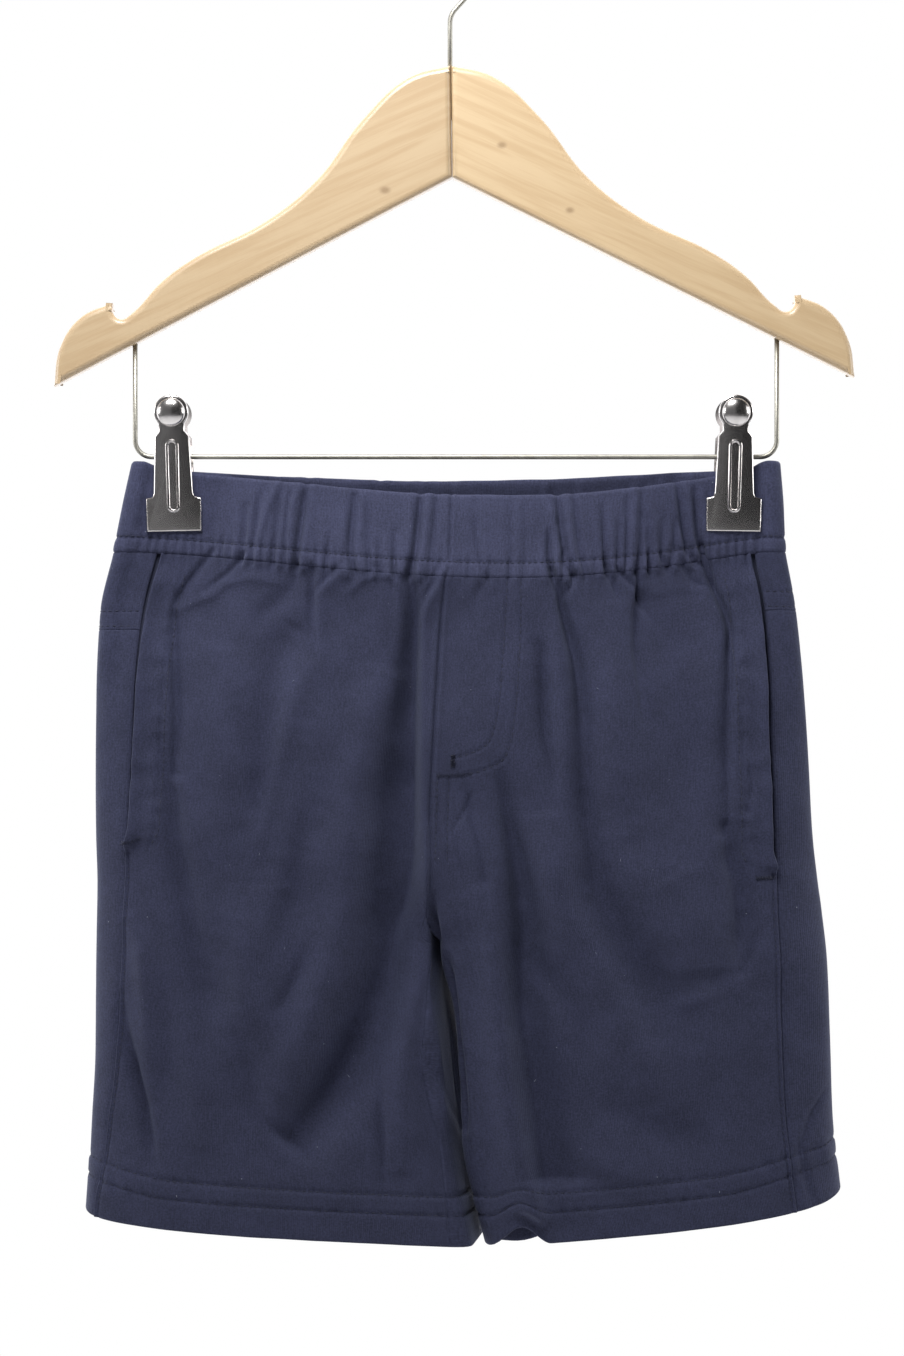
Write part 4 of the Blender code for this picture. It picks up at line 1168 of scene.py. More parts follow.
# ---------------------------------------------------------------- cloth surfaces
def grid_lines(count: int, span: float, edge: float) -> Array:
    """Steps from 0 to 1, closer together at both ends where the cloth's edge is rounded.

    Args:
        count: number of steps, even.
        span: what 1 measures in millimetres.
        edge: how far in the rounding goes.

    Returns:
        The steps.
    """
    near = edge / span * np.array([0.0, 0.13, 0.45, 1.0])
    middle = np.linspace(near[-1], 1.0 - near[-1], count - 5)
    return np.concatenate([near[:-1], middle, 1.0 - near[-2::-1]])


def rounded(gap: Array, radius: float) -> Array:
    """How far a rounded edge has gone in, at a distance from the edge."""
    t = 1.0 - np.clip(gap / radius, 0.08, 1.0)
    return radius * (1.0 - np.sqrt(1.0 - t * t))


@dataclass
class ClothPiece:
    """A sheet of cloth with thickness. Subclasses say where its outside lies.

    u and v run from 0 to 1; spans are what they measure in millimetres.
    """

    name: str
    thickness: float
    spans: tuple[float, float]
    steps: tuple[int, int]

    def outside(self, u: Array, v: Array, out: Array) -> Array:
        """Points at a height above the piece's outside."""
        raise NotImplementedError

    def layer(self, us: Array, vs: Array, inner: bool) -> tuple[Array, Array]:
        """One layer of the piece, rounded towards the other at its edges.

        Args:
            us: steps across.
            vs: steps down.
            inner: whether this is the inside.

        Returns:
            Points and their u and v in millimetres, row by row.
        """
        v, u = (grid.ravel() for grid in np.meshgrid(vs, us, indexing="ij"))
        wide, long = self.spans
        gap = np.minimum(np.minimum(u, 1.0 - u) * wide, np.minimum(v, 1.0 - v) * long)
        turned = rounded(gap, self.thickness / 2.0)
        out = turned - self.thickness if inner else -turned
        return self.outside(u, v, out), np.stack([u * wide, v * long], axis=1)

    def build(self, material: Material) -> Object:
        """Makes the closed mesh: a fine outside, an inside of half its steps, and the rim between.

        Args:
            material: the cloth's finish.

        Returns:
            The object.
        """
        columns, rows = self.steps
        us, vs = (grid_lines(n, span, self.thickness / 2.0) for n, span in zip(self.steps, self.spans))
        outer, outer_uv = self.layer(us, vs, inner=False)
        inner, inner_uv = self.layer(us[::2], vs[::2], inner=True)
        fine = grid_faces(columns, rows, 0)
        coarse = grid_faces(columns // 2, rows // 2, len(outer))[:, ::-1]
        rim = rim_faces(grid_border(columns, rows), grid_border(columns // 2, rows // 2) + len(outer))
        middle = (rows // 4 * 2) * (columns + 1) + columns // 4 * 2
        below = (rows // 4) * (columns // 2 + 1) + columns // 4 + len(outer)
        points = np.concatenate([outer, inner])
        across, down, up = points[[middle + 1, middle + columns + 1, below]] - points[middle]
        way = -1 if np.dot(np.cross(across, down), up) > 0.0 else 1
        faces = [face for group in (fine, coarse, rim) for face in group[:, ::way].tolist()]
        return new_mesh(self.name, (points, faces), material, np.concatenate([outer_uv, inner_uv]))


@dataclass
class HemRows:
    """The turned-up hem: two rows of stitching above its edge, higher near the sides.

    The cloth puckers along the rows. ripple is what X is divided by in the puckers, and drift and swell are
    how much their spacing and their height change and the X over which they do.
    """

    lower: float = 12.8
    upper: float = 20.5
    side_lift: float = 3.0
    lift_at: tuple[float, float] = (-32.0, 4.0)
    groove: float = 0.75
    groove_width: float = 0.9
    fold: float = 0.45
    pucker: float = 0.34
    pucker_width: float = 3.6
    ripple: float = 1.15
    drift: tuple[float, float] = (0.9, 9.0)
    swell: tuple[float, float] = (0.45, 7.7)
    slant: float = 0.25
    row_turns: tuple[float, float] = (0.0, 1.3)
    flare: float = 0.3

    def lift(self, half: Half, x: Array) -> Array:
        """How much higher the rows run near the side seam."""
        start, stop = (abs(LEVELS[half][-1].seam) + at for at in self.lift_at)
        return self.side_lift * smoothstep(start, stop, np.abs(x))

    def raised(self, half: Half, face: Face, x: Array, rise: Array) -> Array:
        """How far the cloth stands out near the hem.

        Args:
            half: which leg.
            face: which face.
            x: X of the points.
            rise: their height above the hem's edge.

        Returns:
            Millimetres out.
        """
        up = rise - self.lift(half, x)
        seed = 3.0 * half.outward + 1.7 * face.outward
        out = self.fold * (1.0 - smoothstep(self.upper - 0.3, self.upper + 0.6, up))
        out = out + self.flare * np.clip(1.0 - rise / self.upper, 0.0, 1.0) ** 2
        (drift, slow), (swell, long) = self.drift, self.swell
        for row, turn in zip((self.lower, self.upper), self.row_turns):
            wave = np.cos(x / self.ripple + drift * np.sin(x / slow + seed) + turn + self.slant * (up - row))
            wave *= 1.0 - swell + swell * np.sin(x / long + seed + turn)
            out = out + self.pucker * wave * bell(up - row, self.pucker_width)
            out = out - self.groove * bell(up - row, self.groove_width)
        return out


@dataclass
class PanelPiece(ClothPiece):
    """A panel below the waist seam.

    Creases fade near the silhouette, and where the cloth runs from front to back they keep least_held.
    """

    form: GarmentForm
    half: Half
    face: Face
    reliefs: dict[Face, Relief]
    hem: HemRows = field(default_factory=HemRows)
    fade: float = 7.0
    least_held: float = 0.3
    facing: tuple[float, float] = (0.25, 0.8)

    @property
    def table(self) -> FaceTable:
        """The form's table of this panel's face."""
        return self.form.tables[self.half, self.face]

    def place(self, u: Array, v: Array) -> tuple[Array, Array]:
        """Across and share of the panel's own coordinates."""
        return u, v

    def raised(self, across: Array, share: Array, x: Array, z: Array) -> Array:
        """How far the panel's own features stand out."""
        rise = z - self.form.hem_z(self.half, x)
        return self.hem.raised(self.half, self.face, x, rise)

    def lifted(self, x: Array, share: Array) -> Array:
        """How far the hem is lifted from its line, which only the left one is."""
        return np.zeros_like(x)

    def outside(self, u: Array, v: Array, out: Array) -> Array:
        """Points at a height above the panel's outside.

        Args:
            u: 0 to 1 across.
            v: 0 to 1 down.
            out: height above the outside.

        Returns:
            One row a point, in millimetres.
        """
        across, share = self.place(u, v)
        at = self.table.sample(across, share)
        z = self.form.height(self.half, at.x, at.y, share)
        facing = smoothstep(*self.facing, np.abs(at.ny))
        held = smoothstep(0.0, self.fade, at.apart) * (self.least_held + (1.0 - self.least_held) * facing)
        depth = np.empty_like(z)
        for face, relief in self.reliefs.items():
            mine = (at.y < 0.0) == (face is Face.FRONT)
            depth[mine] = relief.depth(at.x[mine], z[mine])
        move = out + self.raised(across, share, at.x, z) - depth * held
        if self.half is Half.LEFT:
            z = z + self.lifted(at.x, share)
        return np.stack([at.x + at.nx * move, at.y + at.ny * move, z], axis=1)


@dataclass
class FrontPiece(PanelPiece):
    """A front, whose outer edge is the pocket mouth and whose inner edge is the centre seam.

    strip is the width of the pocket's facing strip, edge_out is how far its edge stands open, and ripple and
    pucker are the heights of its unevenness and of the puckers along its row of stitching.
    """

    mouth_end: float = 130.0
    mouth_start: tuple[float, float] = (4.0, 14.0)
    mouth_gap: float = 2.2
    mouth_close: float = 12.0
    strip: float = 10.5
    strip_out: float = 0.45
    groove: float = 0.3
    groove_width: float = 0.7
    pucker: float = 0.16
    pucker_width: float = 3.0
    edge_out: float = 3.0
    edge_width: float = 3.8
    ripple: float = 0.34
    seam_row: float = 1.6
    seam_depth: float = 0.7
    seam_fold: tuple[float, float] = (0.4, 1.3)
    lift_at: Triple = (16.5, 30.0, 42.5)
    lift_height: float = 7.5
    lift_from: float = 0.84

    def gap(self, share: Array) -> Array:
        """How far the edge stands back from the side seam."""
        end = self.mouth_end
        return self.mouth_gap * (1.0 - smoothstep(end - self.mouth_close, end, share * self.form.length))

    def place(self, u: Array, v: Array) -> tuple[Array, Array]:
        """Leaves the pocket mouth open."""
        return u * (1.0 - self.gap(v) / self.table.width(v)), v

    def own(self, points: Sequence[tuple[float, float]], count: int = 120) -> tuple[Array, Array]:
        """The piece's own coordinates along a line drawn on the face.

        Args:
            points: the line's X and Z.
            count: how many places to read.

        Returns:
            u and v of the places.
        """
        line = Line(points, 0.5)
        x, z = read_columns(np.linspace(0.0, line.length, count), line.run, line.samples)
        v = self.form.share_at(self.half, x, np.full_like(x, -10.0), z)  # any y well in front
        across = np.array([self.table.across_at(a, b) for a, b in zip(x, v)])
        return across / (1.0 - self.gap(v) / self.table.width(v)), v

    def lifted(self, x: Array, share: Array) -> Array:
        """Arches the hem up beside the inseam.

        Args:
            x: X of the points.
            share: their share of the way down.

        Returns:
            Millimetres up.
        """
        start, peak, stop = self.lift_at
        arch = smoothstep(start, peak, x) * (1.0 - smoothstep(peak, stop, x))
        return self.lift_height * arch * smoothstep(self.lift_from, 1.0, share) ** 1.5

    def raised(self, across: Array, share: Array, x: Array, z: Array) -> Array:
        """Adds the pocket's facing strip and its lifted edge.

        Args:
            across: how far across the points are, 0 to 1.
            share: their share of the way down.
            x: their X.
            z: their Z.

        Returns:
            Millimetres out.
        """
        aside = (1.0 - across) * self.table.width(share) - self.gap(share)
        down, end, strip = share * self.form.length, self.mouth_end, self.strip
        mouth = smoothstep(*self.mouth_start, down) * (1.0 - smoothstep(end - 4.0, end, down))
        own = self.strip_out * (1.0 - smoothstep(strip - 0.7, strip + 0.3, aside))
        own += self.edge_out * bell(aside, self.edge_width)
        own -= self.groove * bell(aside - strip, self.groove_width)
        pucker = np.cos(down / 1.2 + np.sin(down / 6.0))
        own += self.pucker * pucker * bell(aside - strip, self.pucker_width)
        ripple = np.sin(down / 2.9 + 1.4 * np.sin(down / 7.3)) * np.cos(down / 10.5 + aside / 5.0)
        own += self.ripple * ripple * (1.0 - smoothstep(strip - 2.0, strip + 3.0, aside))
        fold_at, fold_width = self.seam_fold
        seam = bell(aside - self.seam_row, self.groove_width) - bell(aside - fold_at, fold_width)
        return super().raised(across, share, x, z) + mouth * own - self.seam_depth * seam * (1.0 - mouth)


@dataclass
class YokePiece(PanelPiece):
    """A back yoke, between the waist seam and the back panel, round the side on to the front."""

    at_side: float = 33.0
    at_centre: float = 50.0
    rows: tuple[float, float] = (1.8, 8.2)
    groove: float = 0.28
    groove_width: float = 0.6

    def seam_share(self, across: Array) -> Array:
        """Share of the length at which the yoke's seam lies."""
        down = self.at_side + (self.at_centre - self.at_side) * smoothstep(0.0, 1.0, across)
        return down / self.form.length

    def place(self, u: Array, v: Array) -> tuple[Array, Array]:
        """Runs from the waist seam to the yoke's seam."""
        edge = self.form.seam_gap / 2.0 / self.form.length
        return u, (self.seam_share(u) - edge) * v

    def raised(self, across: Array, share: Array, x: Array, z: Array) -> Array:
        """Two rows of stitching above the yoke's seam."""
        up = (self.seam_share(across) - share) * self.form.length
        return -self.groove * sum(bell(up - row, self.groove_width) for row in self.rows)


@dataclass
class BackPiece(PanelPiece):
    """A back panel, below the yoke."""

    yoke: YokePiece | None = None
    drop: float = 5.6
    drop_x: float = 31.0
    drop_width: float = 15.0
    drop_from: float = 0.6
    seam_row: float = 1.6

    def top(self, u: Array) -> Array:
        """Share of the way down at which the panel starts."""
        return self.yoke.seam_share(u) + self.form.seam_gap / 2.0 / self.form.length

    def place(self, u: Array, v: Array) -> tuple[Array, Array]:
        """Runs from the yoke's seam to the hem."""
        return u, self.top(u) + (1.0 - self.top(u)) * v

    def lifted(self, x: Array, share: Array) -> Array:
        """Lets the hem hang lower beside the inseam."""
        return -self.drop * bell(x - self.drop_x, self.drop_width) * smoothstep(self.drop_from, 1.0, share)

    def raised(self, across: Array, share: Array, x: Array, z: Array) -> Array:
        """Adds the row beside the side seam.

        Args:
            across: how far across the points are, 0 to 1.
            share: their share of the way down.
            x: their X.
            z: their Z.

        Returns:
            Millimetres out.
        """
        aside = across * self.table.width(share)
        seam = 0.35 * bell(aside - self.seam_row, 0.6) + 0.4 * bell(aside, 1.0)
        return super().raised(across, share, x, z) - seam


@dataclass
class PocketPiece(PanelPiece):
    """A pocket bag, which is its front moved in. wide and deep are its shares of the front."""

    inset: float = 1.9
    wide: float = 9 / 22
    deep: float = 10 / 18

    def place(self, u: Array, v: Array) -> tuple[Array, Array]:
        """Takes up the outer part of the front."""
        return 1.0 - (1.0 - u) * self.wide, v * self.deep

    def raised(self, across: Array, share: Array, x: Array, z: Array) -> Array:
        """Lies behind the front."""
        return np.full_like(x, -self.inset)


@dataclass
class BandPiece(ClothPiece):
    """Half of the waistband: two layers of jersey round an elastic, gathered.

    loop_rise is how far it stands up beyond the clips, taper how far each end leans in at its top, and
    lean_back how far its middle leans back there. row is its stitching and roll the raised cloth below it,
    and its top edge settles by a share of its creases' depth.
    """

    form: GarmentForm
    face: Face
    reliefs: dict[Face, Relief]
    height: float = 35.0
    proud: float = 0.3
    crown: float = 0.35
    loop_rise: float = 3.9
    rise_at: tuple[float, float] = (126.0, 138.0)
    taper: tuple[float, float] = (8.2, -2.6)
    taper_at: tuple[float, float] = (96.0, 143.0)
    row_up: float = 6.5
    row_depth: float = 0.45
    row_width: float = 0.8
    roll_height: float = 0.22
    roll_width: float = 2.2
    settle: float = 0.35
    end_fade: float = 5.0
    lean_back: float = 6.5
    lean_at: tuple[float, float] = (30.0, 112.0)
    back_share: float = -0.3

    def __post_init__(self) -> None:
        """Works out the waist's closed loop."""
        steps = self.form.arc_steps
        right, left = (self.form.loop(half, 0.0).plan for half in Half)
        self.loop = Loop(np.concatenate([right[steps::-1], left[1:], right[-2 : steps - 1 : -1]]))
        self.turn = self.loop.run[2 * steps]

    def outside(self, u: Array, v: Array, out: Array) -> Array:
        """Points at a height above the band's outside.

        Args:
            u: 0 to 1 along the loop.
            v: 0 at the seam to 1 at the top edge.
            out: height above the outside.

        Returns:
            One row a point, in millimetres.
        """
        edge, total = self.form.seam_gap / 2.0, self.loop.total
        ends = (0.0, self.turn) if self.face is Face.FRONT else (self.turn, total)
        first, last = ends[0] + edge, ends[1] - edge
        at = np.clip(first + (last - first) * u, 0.0, total)
        x, y, nx, ny = self.loop.read(at)
        away = np.abs(x)
        rise = self.height + self.loop_rise * smoothstep(*self.rise_at, away)
        z = self.form.seam_z(x, y) + edge + rise * v
        near = np.minimum(np.abs(at - self.turn), np.minimum(at, total - at))
        depth = self.reliefs[self.face].depth(x, z) * smoothstep(0.0, self.end_fade, near)
        up = rise * v
        roll = self.roll_height * bell(up - 0.45 * self.row_up, self.roll_width)
        row = self.row_depth * bell(up - self.row_up, self.row_width) - roll
        move = out + self.proud + self.crown * bell(up - 0.62 * rise, 0.4 * rise) - row - depth
        taper = np.where(x > 0.0, self.taper[1], self.taper[0])
        lean = taper * v * smoothstep(*self.taper_at, away)
        back = self.lean_back * v * (1.0 - smoothstep(*self.lean_at, away))
        if self.face is Face.BACK:
            back = self.back_share * back
        down = self.settle * depth * v**3
        return np.stack([x + nx * move + lean, y + ny * move + back, z - down], axis=1)


# ---------------------------------------------------------------- stitching
THREAD_SIDES = 6


@dataclass
class StitchRow:
    """A row of stitches on a piece, given in the piece's own coordinates.

    rings are a thread's heights above the cloth along one stitch.
    """

    piece: ClothPiece
    us: Array
    vs: Array
    pitch: float = 2.9
    stitch: float = 2.1
    radius: float = 0.2
    first: float = 0.4
    rings: Sequence[float] = (-0.3, 0.1, 0.2, 0.1, -0.3)

    def threads(self) -> list[Part]:
        """Makes each stitch a short tube whose ends go into the cloth.

        Returns:
            Points and faces of each stitch.
        """
        path = self.piece.outside(self.us, self.vs, np.zeros_like(self.us))
        run = run_along(path)
        starts = np.arange(self.first, run[-1] - self.stitch, self.pitch)
        parts = np.linspace(0.0, self.stitch, len(self.rings))
        at = (starts[:, None] + parts[None, :]).ravel()
        u, v = np.interp(at, run, self.us), np.interp(at, run, self.vs)
        heights = np.tile(np.array(self.rings), len(starts))
        middle = self.piece.outside(u, v, heights).reshape(len(starts), len(self.rings), 3)
        return [tube(points, self.radius, THREAD_SIDES) for points in middle]


@dataclass
class Bartack:
    """A short dense bar of thread that goes to and fro across a line on a piece."""

    piece: ClothPiece
    us: Array
    vs: Array
    width: float = 1.7
    pitch: float = 0.36
    radius: float = 0.21
    height: float = 0.16

    def threads(self) -> list[Part]:
        """Makes the thread one wire.

        Returns:
            Points and faces of the thread.
        """
        path = self.piece.outside(self.us, self.vs, np.full_like(self.us, self.height))
        run = run_along(path)
        at = np.arange(0.0, run[-1], self.pitch)
        middle = np.stack(read_columns(at, run, path), axis=1)
        way = unit(np.gradient(middle, axis=0))
        aside = np.stack([-way[:, 2], np.zeros(len(at)), way[:, 0]], axis=1)
        turns = np.where(np.arange(len(at)) % 2 == 0, 0.5, -0.5)[:, None]
        return [tube(middle + aside * turns * self.width, self.radius, THREAD_SIDES)]


# ---------------------------------------------------------------- materials
@dataclass
class Board:
    """Adds nodes and links to one node tree."""

    tree: bpy.types.NodeTree

    def add(self, kind: str, inputs: dict[str | int, object] | None = None, **settings: object) -> Node:
        """Adds a node.

        Args:
            kind: the node's type, without the word ShaderNode.
            inputs: a value or a socket for each input.
            settings: the node's own properties.

        Returns:
            The node.
        """
        node = self.tree.nodes.new(f"ShaderNode{kind}")
        for name, value in settings.items():
            setattr(node, name, value)
        for name, value in (inputs or {}).items():
            self.set(node.inputs[name], value)
        return node

    def set(self, socket: Socket, value: object) -> None:
        """Links a socket to an input, or gives it a plain value.

        Args:
            socket: the input.
            value: a socket or a plain value.
        """
        if isinstance(value, Socket):
            self.tree.links.new(value, socket)
        else:
            socket.default_value = value

    def math(self, operation: str, *values: object) -> Socket:
        """A Math node's result."""
        return self.add("Math", dict(enumerate(values)), operation=operation).outputs[0]

    def times(self, first: object, second: object) -> Socket:
        """A product of two numbers."""
        return self.math("MULTIPLY", first, second)

    def plus(self, first: object, second: object) -> Socket:
        """A sum of two numbers."""
        return self.math("ADD", first, second)

    def without(self, value: Socket) -> Socket:
        """What is left of 1."""
        return self.math("SUBTRACT", 1.0, value)

    def vector(self, operation: str, *values: object) -> Socket:
        """A Vector Math node's result."""
        return self.add("VectorMath", dict(enumerate(values)), operation=operation).outputs[0]

    def scaled(self, vector: Socket, factors: object) -> Socket:
        """A vector times another, part by part."""
        return self.vector("MULTIPLY", vector, factors)

    def bent(self, vector: Socket, amount: Sequence[float], scale: float) -> Socket:
        """A vector moved about by a coarse noise."""
        moved = self.add("TexNoise", {"Vector": vector, "Scale": scale, "Detail": 2.0}).outputs["Color"]
        return self.vector("ADD", vector, self.scaled(moved, amount))

    def cells(self, vector: Socket, scale: float) -> Node:
        """Scattered cells, with a distance and a colour of their own."""
        return self.add("TexVoronoi", {"Vector": vector, "Scale": scale, "Randomness": 1.0})

    def channel(self, colour: Socket, index: int) -> Socket:
        """One channel of a colour."""
        return self.add("SeparateColor", {"Color": colour}).outputs[index]

    def place(self, output: str) -> Socket:
        """A texture coordinate in millimetres."""
        return self.scaled(self.add("TexCoord").outputs[output], (1000.0, 1000.0, 1000.0))

    def noise(self, vector: Socket, scale: float, detail: float = 2.0, roughness: float = 0.5) -> Socket:
        """A noise between 0 and 1."""
        inputs = {"Vector": vector, "Scale": scale, "Detail": detail, "Roughness": roughness}
        return self.add("TexNoise", inputs).outputs["Fac"]

    def ramp(self, value: Socket, low: float, high: float) -> Socket:
        """Smoothly spreads a range of value over 0 to 1."""
        inputs = {"Value": value, "From Min": low, "From Max": high}
        return self.add("MapRange", inputs, interpolation_type="SMOOTHSTEP").outputs["Result"]

    def mix(self, share: object, first: object, second: object) -> Socket:
        """Mixes two colours.

        Args:
            share: how much of the second, 0 to 1.
            first: a colour.
            second: another colour.

        Returns:
            The mixed colour.
        """
        return self.add("Mix", {0: share, 6: first, 7: second}, data_type="RGBA").outputs[2]


def new_group(name: str, inputs: dict[str, object]) -> tuple[Board, Sockets, Sockets]:
    """Makes an empty shader node group that gives a colour, a roughness and a height.

    Args:
        name: the group's name.
        inputs: each input's first value, a colour or a number.

    Returns:
        A board for its nodes, what it gives out, and what it is given.
    """
    tree = bpy.data.node_groups.new(name, "ShaderNodeTree")
    for label, value in inputs.items():
        kind = "Color" if isinstance(value, tuple) else "Float"
        socket = tree.interface.new_socket(name=label, in_out="INPUT", socket_type=f"NodeSocket{kind}")
        socket.default_value = value
    for label, kind in (("Colour", "Color"), ("Roughness", "Float"), ("Height", "Float")):
        tree.interface.new_socket(name=label, in_out="OUTPUT", socket_type=f"NodeSocket{kind}")
    given, put = tree.nodes.new("NodeGroupInput"), tree.nodes.new("NodeGroupOutput")
    return Board(tree), put.inputs, given.outputs


def knit_group() -> None:
    """Jersey seen close: fine columns of stitches, uneven dye, and pale lint."""
    colour, pale = (0.03, 0.035, 0.08, 1.0), (0.3, 0.32, 0.38, 1.0)
    inputs = {"Colour": colour, "Shade": colour, "Lint colour": pale,
              "Lint": 0.5, "Column pitch": 0.75, "Unevenness": 0.5}
    board, put, given = new_group("jersey knit", inputs)
    flat = board.scaled(board.add("TexCoord").outputs["UV"], (1000.0, 1000.0, 1.0))
    fine = board.noise(flat, 1.15, 4.0, 0.7)
    blotch = board.noise(flat, 0.07, 4.0, 0.6)
    slub = board.noise(board.scaled(flat, (1.5, 0.22, 1.0)), 1.0, 3.0)
    cloudy = board.plus(board.times(blotch, 0.45), board.times(slub, 0.55))
    speckle = board.times(board.ramp(fine, 0.36, 0.64), 0.6)
    share = board.plus(board.times(board.ramp(cloudy, 0.36, 0.64), 0.4), speckle)
    dyed = board.mix(board.times(share, given["Unevenness"]), given["Colour"], given["Shade"])
    specks = board.cells(flat, 0.13)
    dot = board.without(board.ramp(specks.outputs["Distance"], 0.018, 0.035))
    kept = board.ramp(board.channel(specks.outputs["Color"], 0), 0.6, 0.62)
    hairs = board.cells(board.scaled(board.bent(flat, (9.0, 9.0, 0.0), 0.12), (0.9, 0.16, 1.0)), 0.34)
    hair = board.without(board.ramp(hairs.outputs["Distance"], 0.028, 0.05))
    rare = board.ramp(board.channel(hairs.outputs["Color"], 1), 0.9, 0.92)
    lint = board.times(board.plus(board.times(dot, kept), board.times(hair, rare)), given["Lint"])
    board.set(put["Colour"], board.mix(lint, dyed, given["Lint colour"]))
    parts = board.add("SeparateXYZ", {"Vector": flat})
    turn = board.math("DIVIDE", 2.0 * math.pi, given["Column pitch"])
    wobble = board.times(board.math("SUBTRACT", fine, 0.5), 0.5)
    column = board.math("SINE", board.times(board.plus(parts.outputs[0], wobble), turn))
    course = board.math("SINE", board.times(parts.outputs[1], board.times(turn, 1.25)))
    loops = board.plus(board.times(column, 0.3), board.times(course, 0.14))
    board.set(put["Height"], board.plus(loops, board.times(fine, 0.9)))
    board.set(put["Roughness"], board.plus(0.78, board.times(fine, 0.16)))


def grain_group() -> None:
    """Pale board, its grain along a tilted direction, with streaks and three small knots."""
    inputs = {"Light": (0.6, 0.4, 0.2, 1.0), "Dark": (0.4, 0.25, 0.12, 1.0), "Tilt": 0.0}
    board, put, given = new_group("board grain", inputs)
    place = board.place("Object")
    middle = (0.0, 0.0, -150.0)
    turn = {"Vector": place, "Center": middle, "Angle": given["Tilt"]}
    turned = board.add("VectorRotate", turn, rotation_type="Y_AXIS").outputs[0]
    wavy = board.bent(board.scaled(turned, (0.018, 0.25, 0.33)), (0.6, 0.6, 1.3), 0.8)
    year = board.noise(wavy, 1.1, 2.0, 0.6)
    fibre = board.noise(board.scaled(turned, (0.06, 1.4, 2.2)), 1.0, 3.0, 0.65)
    share = board.plus(board.times(year, 0.7), board.times(fibre, 0.3))
    grain = board.mix(board.ramp(share, 0.36, 0.64), given["Light"], given["Dark"])
    spots = []
    for x, z, size in ((-27.5, -128.7, 1.5), (22.0, -109.6, 1.3), (50.8, -137.2, 1.2)):
        away = board.scaled(board.vector("SUBTRACT", place, (x, 0.0, z)), (1.0, 0.0, 1.4))
        length = board.add("VectorMath", {0: away}, operation="LENGTH").outputs["Value"]
        spots.append(board.without(board.ramp(length, 0.4 * size, 2.2 * size)))
    knots = board.plus(board.plus(spots[0], spots[1]), spots[2])
    dark = board.mix(0.6, given["Dark"], (0.09, 0.04, 0.015, 1.0))
    board.set(put["Colour"], board.mix(board.times(knots, 0.7), grain, dark))
    board.set(put["Roughness"], board.plus(0.3, board.times(fibre, 0.2)))
    board.set(put["Height"], fibre)


def plating_group() -> None:
    """Bright plating with faint smudges and fine scratches."""
    inputs = {"Colour": (0.7, 0.7, 0.7, 1.0), "Smudge": (0.5, 0.5, 0.5, 1.0), "Roughness": 0.1}
    board, put, given = new_group("plating", inputs)
    place = board.place("Object")
    cloud = board.noise(place, 0.16, 3.0, 0.6)
    scratch = board.noise(board.scaled(place, (3.0, 3.0, 0.15)), 1.0, 2.0)
    board.set(put["Colour"], board.mix(board.ramp(cloud, 0.4, 0.7), given["Colour"], given["Smudge"]))
    rough = board.plus(given["Roughness"], board.times(cloud, 0.08))
    board.set(put["Roughness"], board.plus(rough, board.times(scratch, 0.04)))
    board.set(put["Height"], board.plus(cloud, board.times(scratch, 0.2)))


@dataclass(frozen=True)
class Finish:
    """A finish: one node group with its own values, and the shader's plain settings.

    bump is the relief's strength and bump_distance its height in millimetres.
    """

    name: str
    group: str
    values: dict[str, object]
    settings: dict[str, object]
    bump: float
    bump_distance: float

    def build(self) -> Material:
        """Makes the material.

        Returns:
            The material, with its shader outside the group.
        """
        material = bpy.data.materials.new(self.name)
        material.use_nodes = True
        board = Board(material.node_tree)
        effect = board.add("Group", node_tree=bpy.data.node_groups[self.group])
        for name, value in self.values.items():
            effect.inputs[name].default_value = (*value, 1.0) if isinstance(value, tuple) else value
        height = effect.outputs["Height"]
        relief = {"Height": height, "Strength": self.bump, "Distance": self.bump_distance * MM}
        inputs = {
            "Base Color": effect.outputs["Colour"],
            "Roughness": effect.outputs["Roughness"],
            "Normal": board.add("Bump", relief).outputs["Normal"],
            **self.settings,
        }
        for name, value in inputs.items():
            board.set(material.node_tree.nodes["Principled BSDF"].inputs[name], value)
        return material


CLOTH = {
    "Sheen Weight": 0.1,
    "Sheen Roughness": 0.5,
    "Sheen Tint": (0.55, 0.62, 0.9, 1.0),
    "Specular IOR Level": 0.25,
}
THREAD_SHADER = {"Sheen Weight": 0.1, "Specular IOR Level": 0.3}
LACQUER = {"Coat Weight": 0.35, "Coat Roughness": 0.22, "Specular IOR Level": 0.4}
METAL = {"Metallic": 1.0}

NAVY = {
    "Colour": (0.0315, 0.0352, 0.0740),
    "Shade": (0.0145, 0.0166, 0.0355),
    "Lint": 0.6,
    "Column pitch": 0.75,
    "Unevenness": 1.0,
}
# The band's jersey is a lighter copy of the navy. It is partly how the casing looks stretched over its
# elastic, and partly painted light: the light from above that falls on the top of the garment.
LIT_BAND_NAVY = {**NAVY, "Colour": (0.0420, 0.0460, 0.0930), "Shade": (0.0210, 0.0235, 0.0480)}
POCKET_NAVY = {**NAVY, "Colour": (0.020, 0.0225, 0.042), "Lint": 0.2, "Column pitch": 0.6}
THREAD_NAVY = {**NAVY, "Colour": (0.022, 0.025, 0.047), "Lint": 0.0, "Column pitch": 0.3}
# Both arms are one maple, painted as a lit and a shaded copy. The left arm is lighter because more light
# falls from the left, and the right arm is darker.
SHADED_RIGHT_MAPLE = {"Light": (0.418, 0.314, 0.195), "Dark": (0.374, 0.268, 0.157), "Tilt": 0.42}
LIT_LEFT_MAPLE = {"Light": (0.468, 0.350, 0.213), "Dark": (0.418, 0.300, 0.173), "Tilt": -0.42}
WIRE_VALUES = {"Colour": (0.34, 0.33, 0.29), "Smudge": (0.27, 0.26, 0.23), "Roughness": 0.42}
CLIP_VALUES = {"Colour": (0.60, 0.58, 0.57), "Smudge": (0.50, 0.48, 0.47), "Roughness": 0.17}

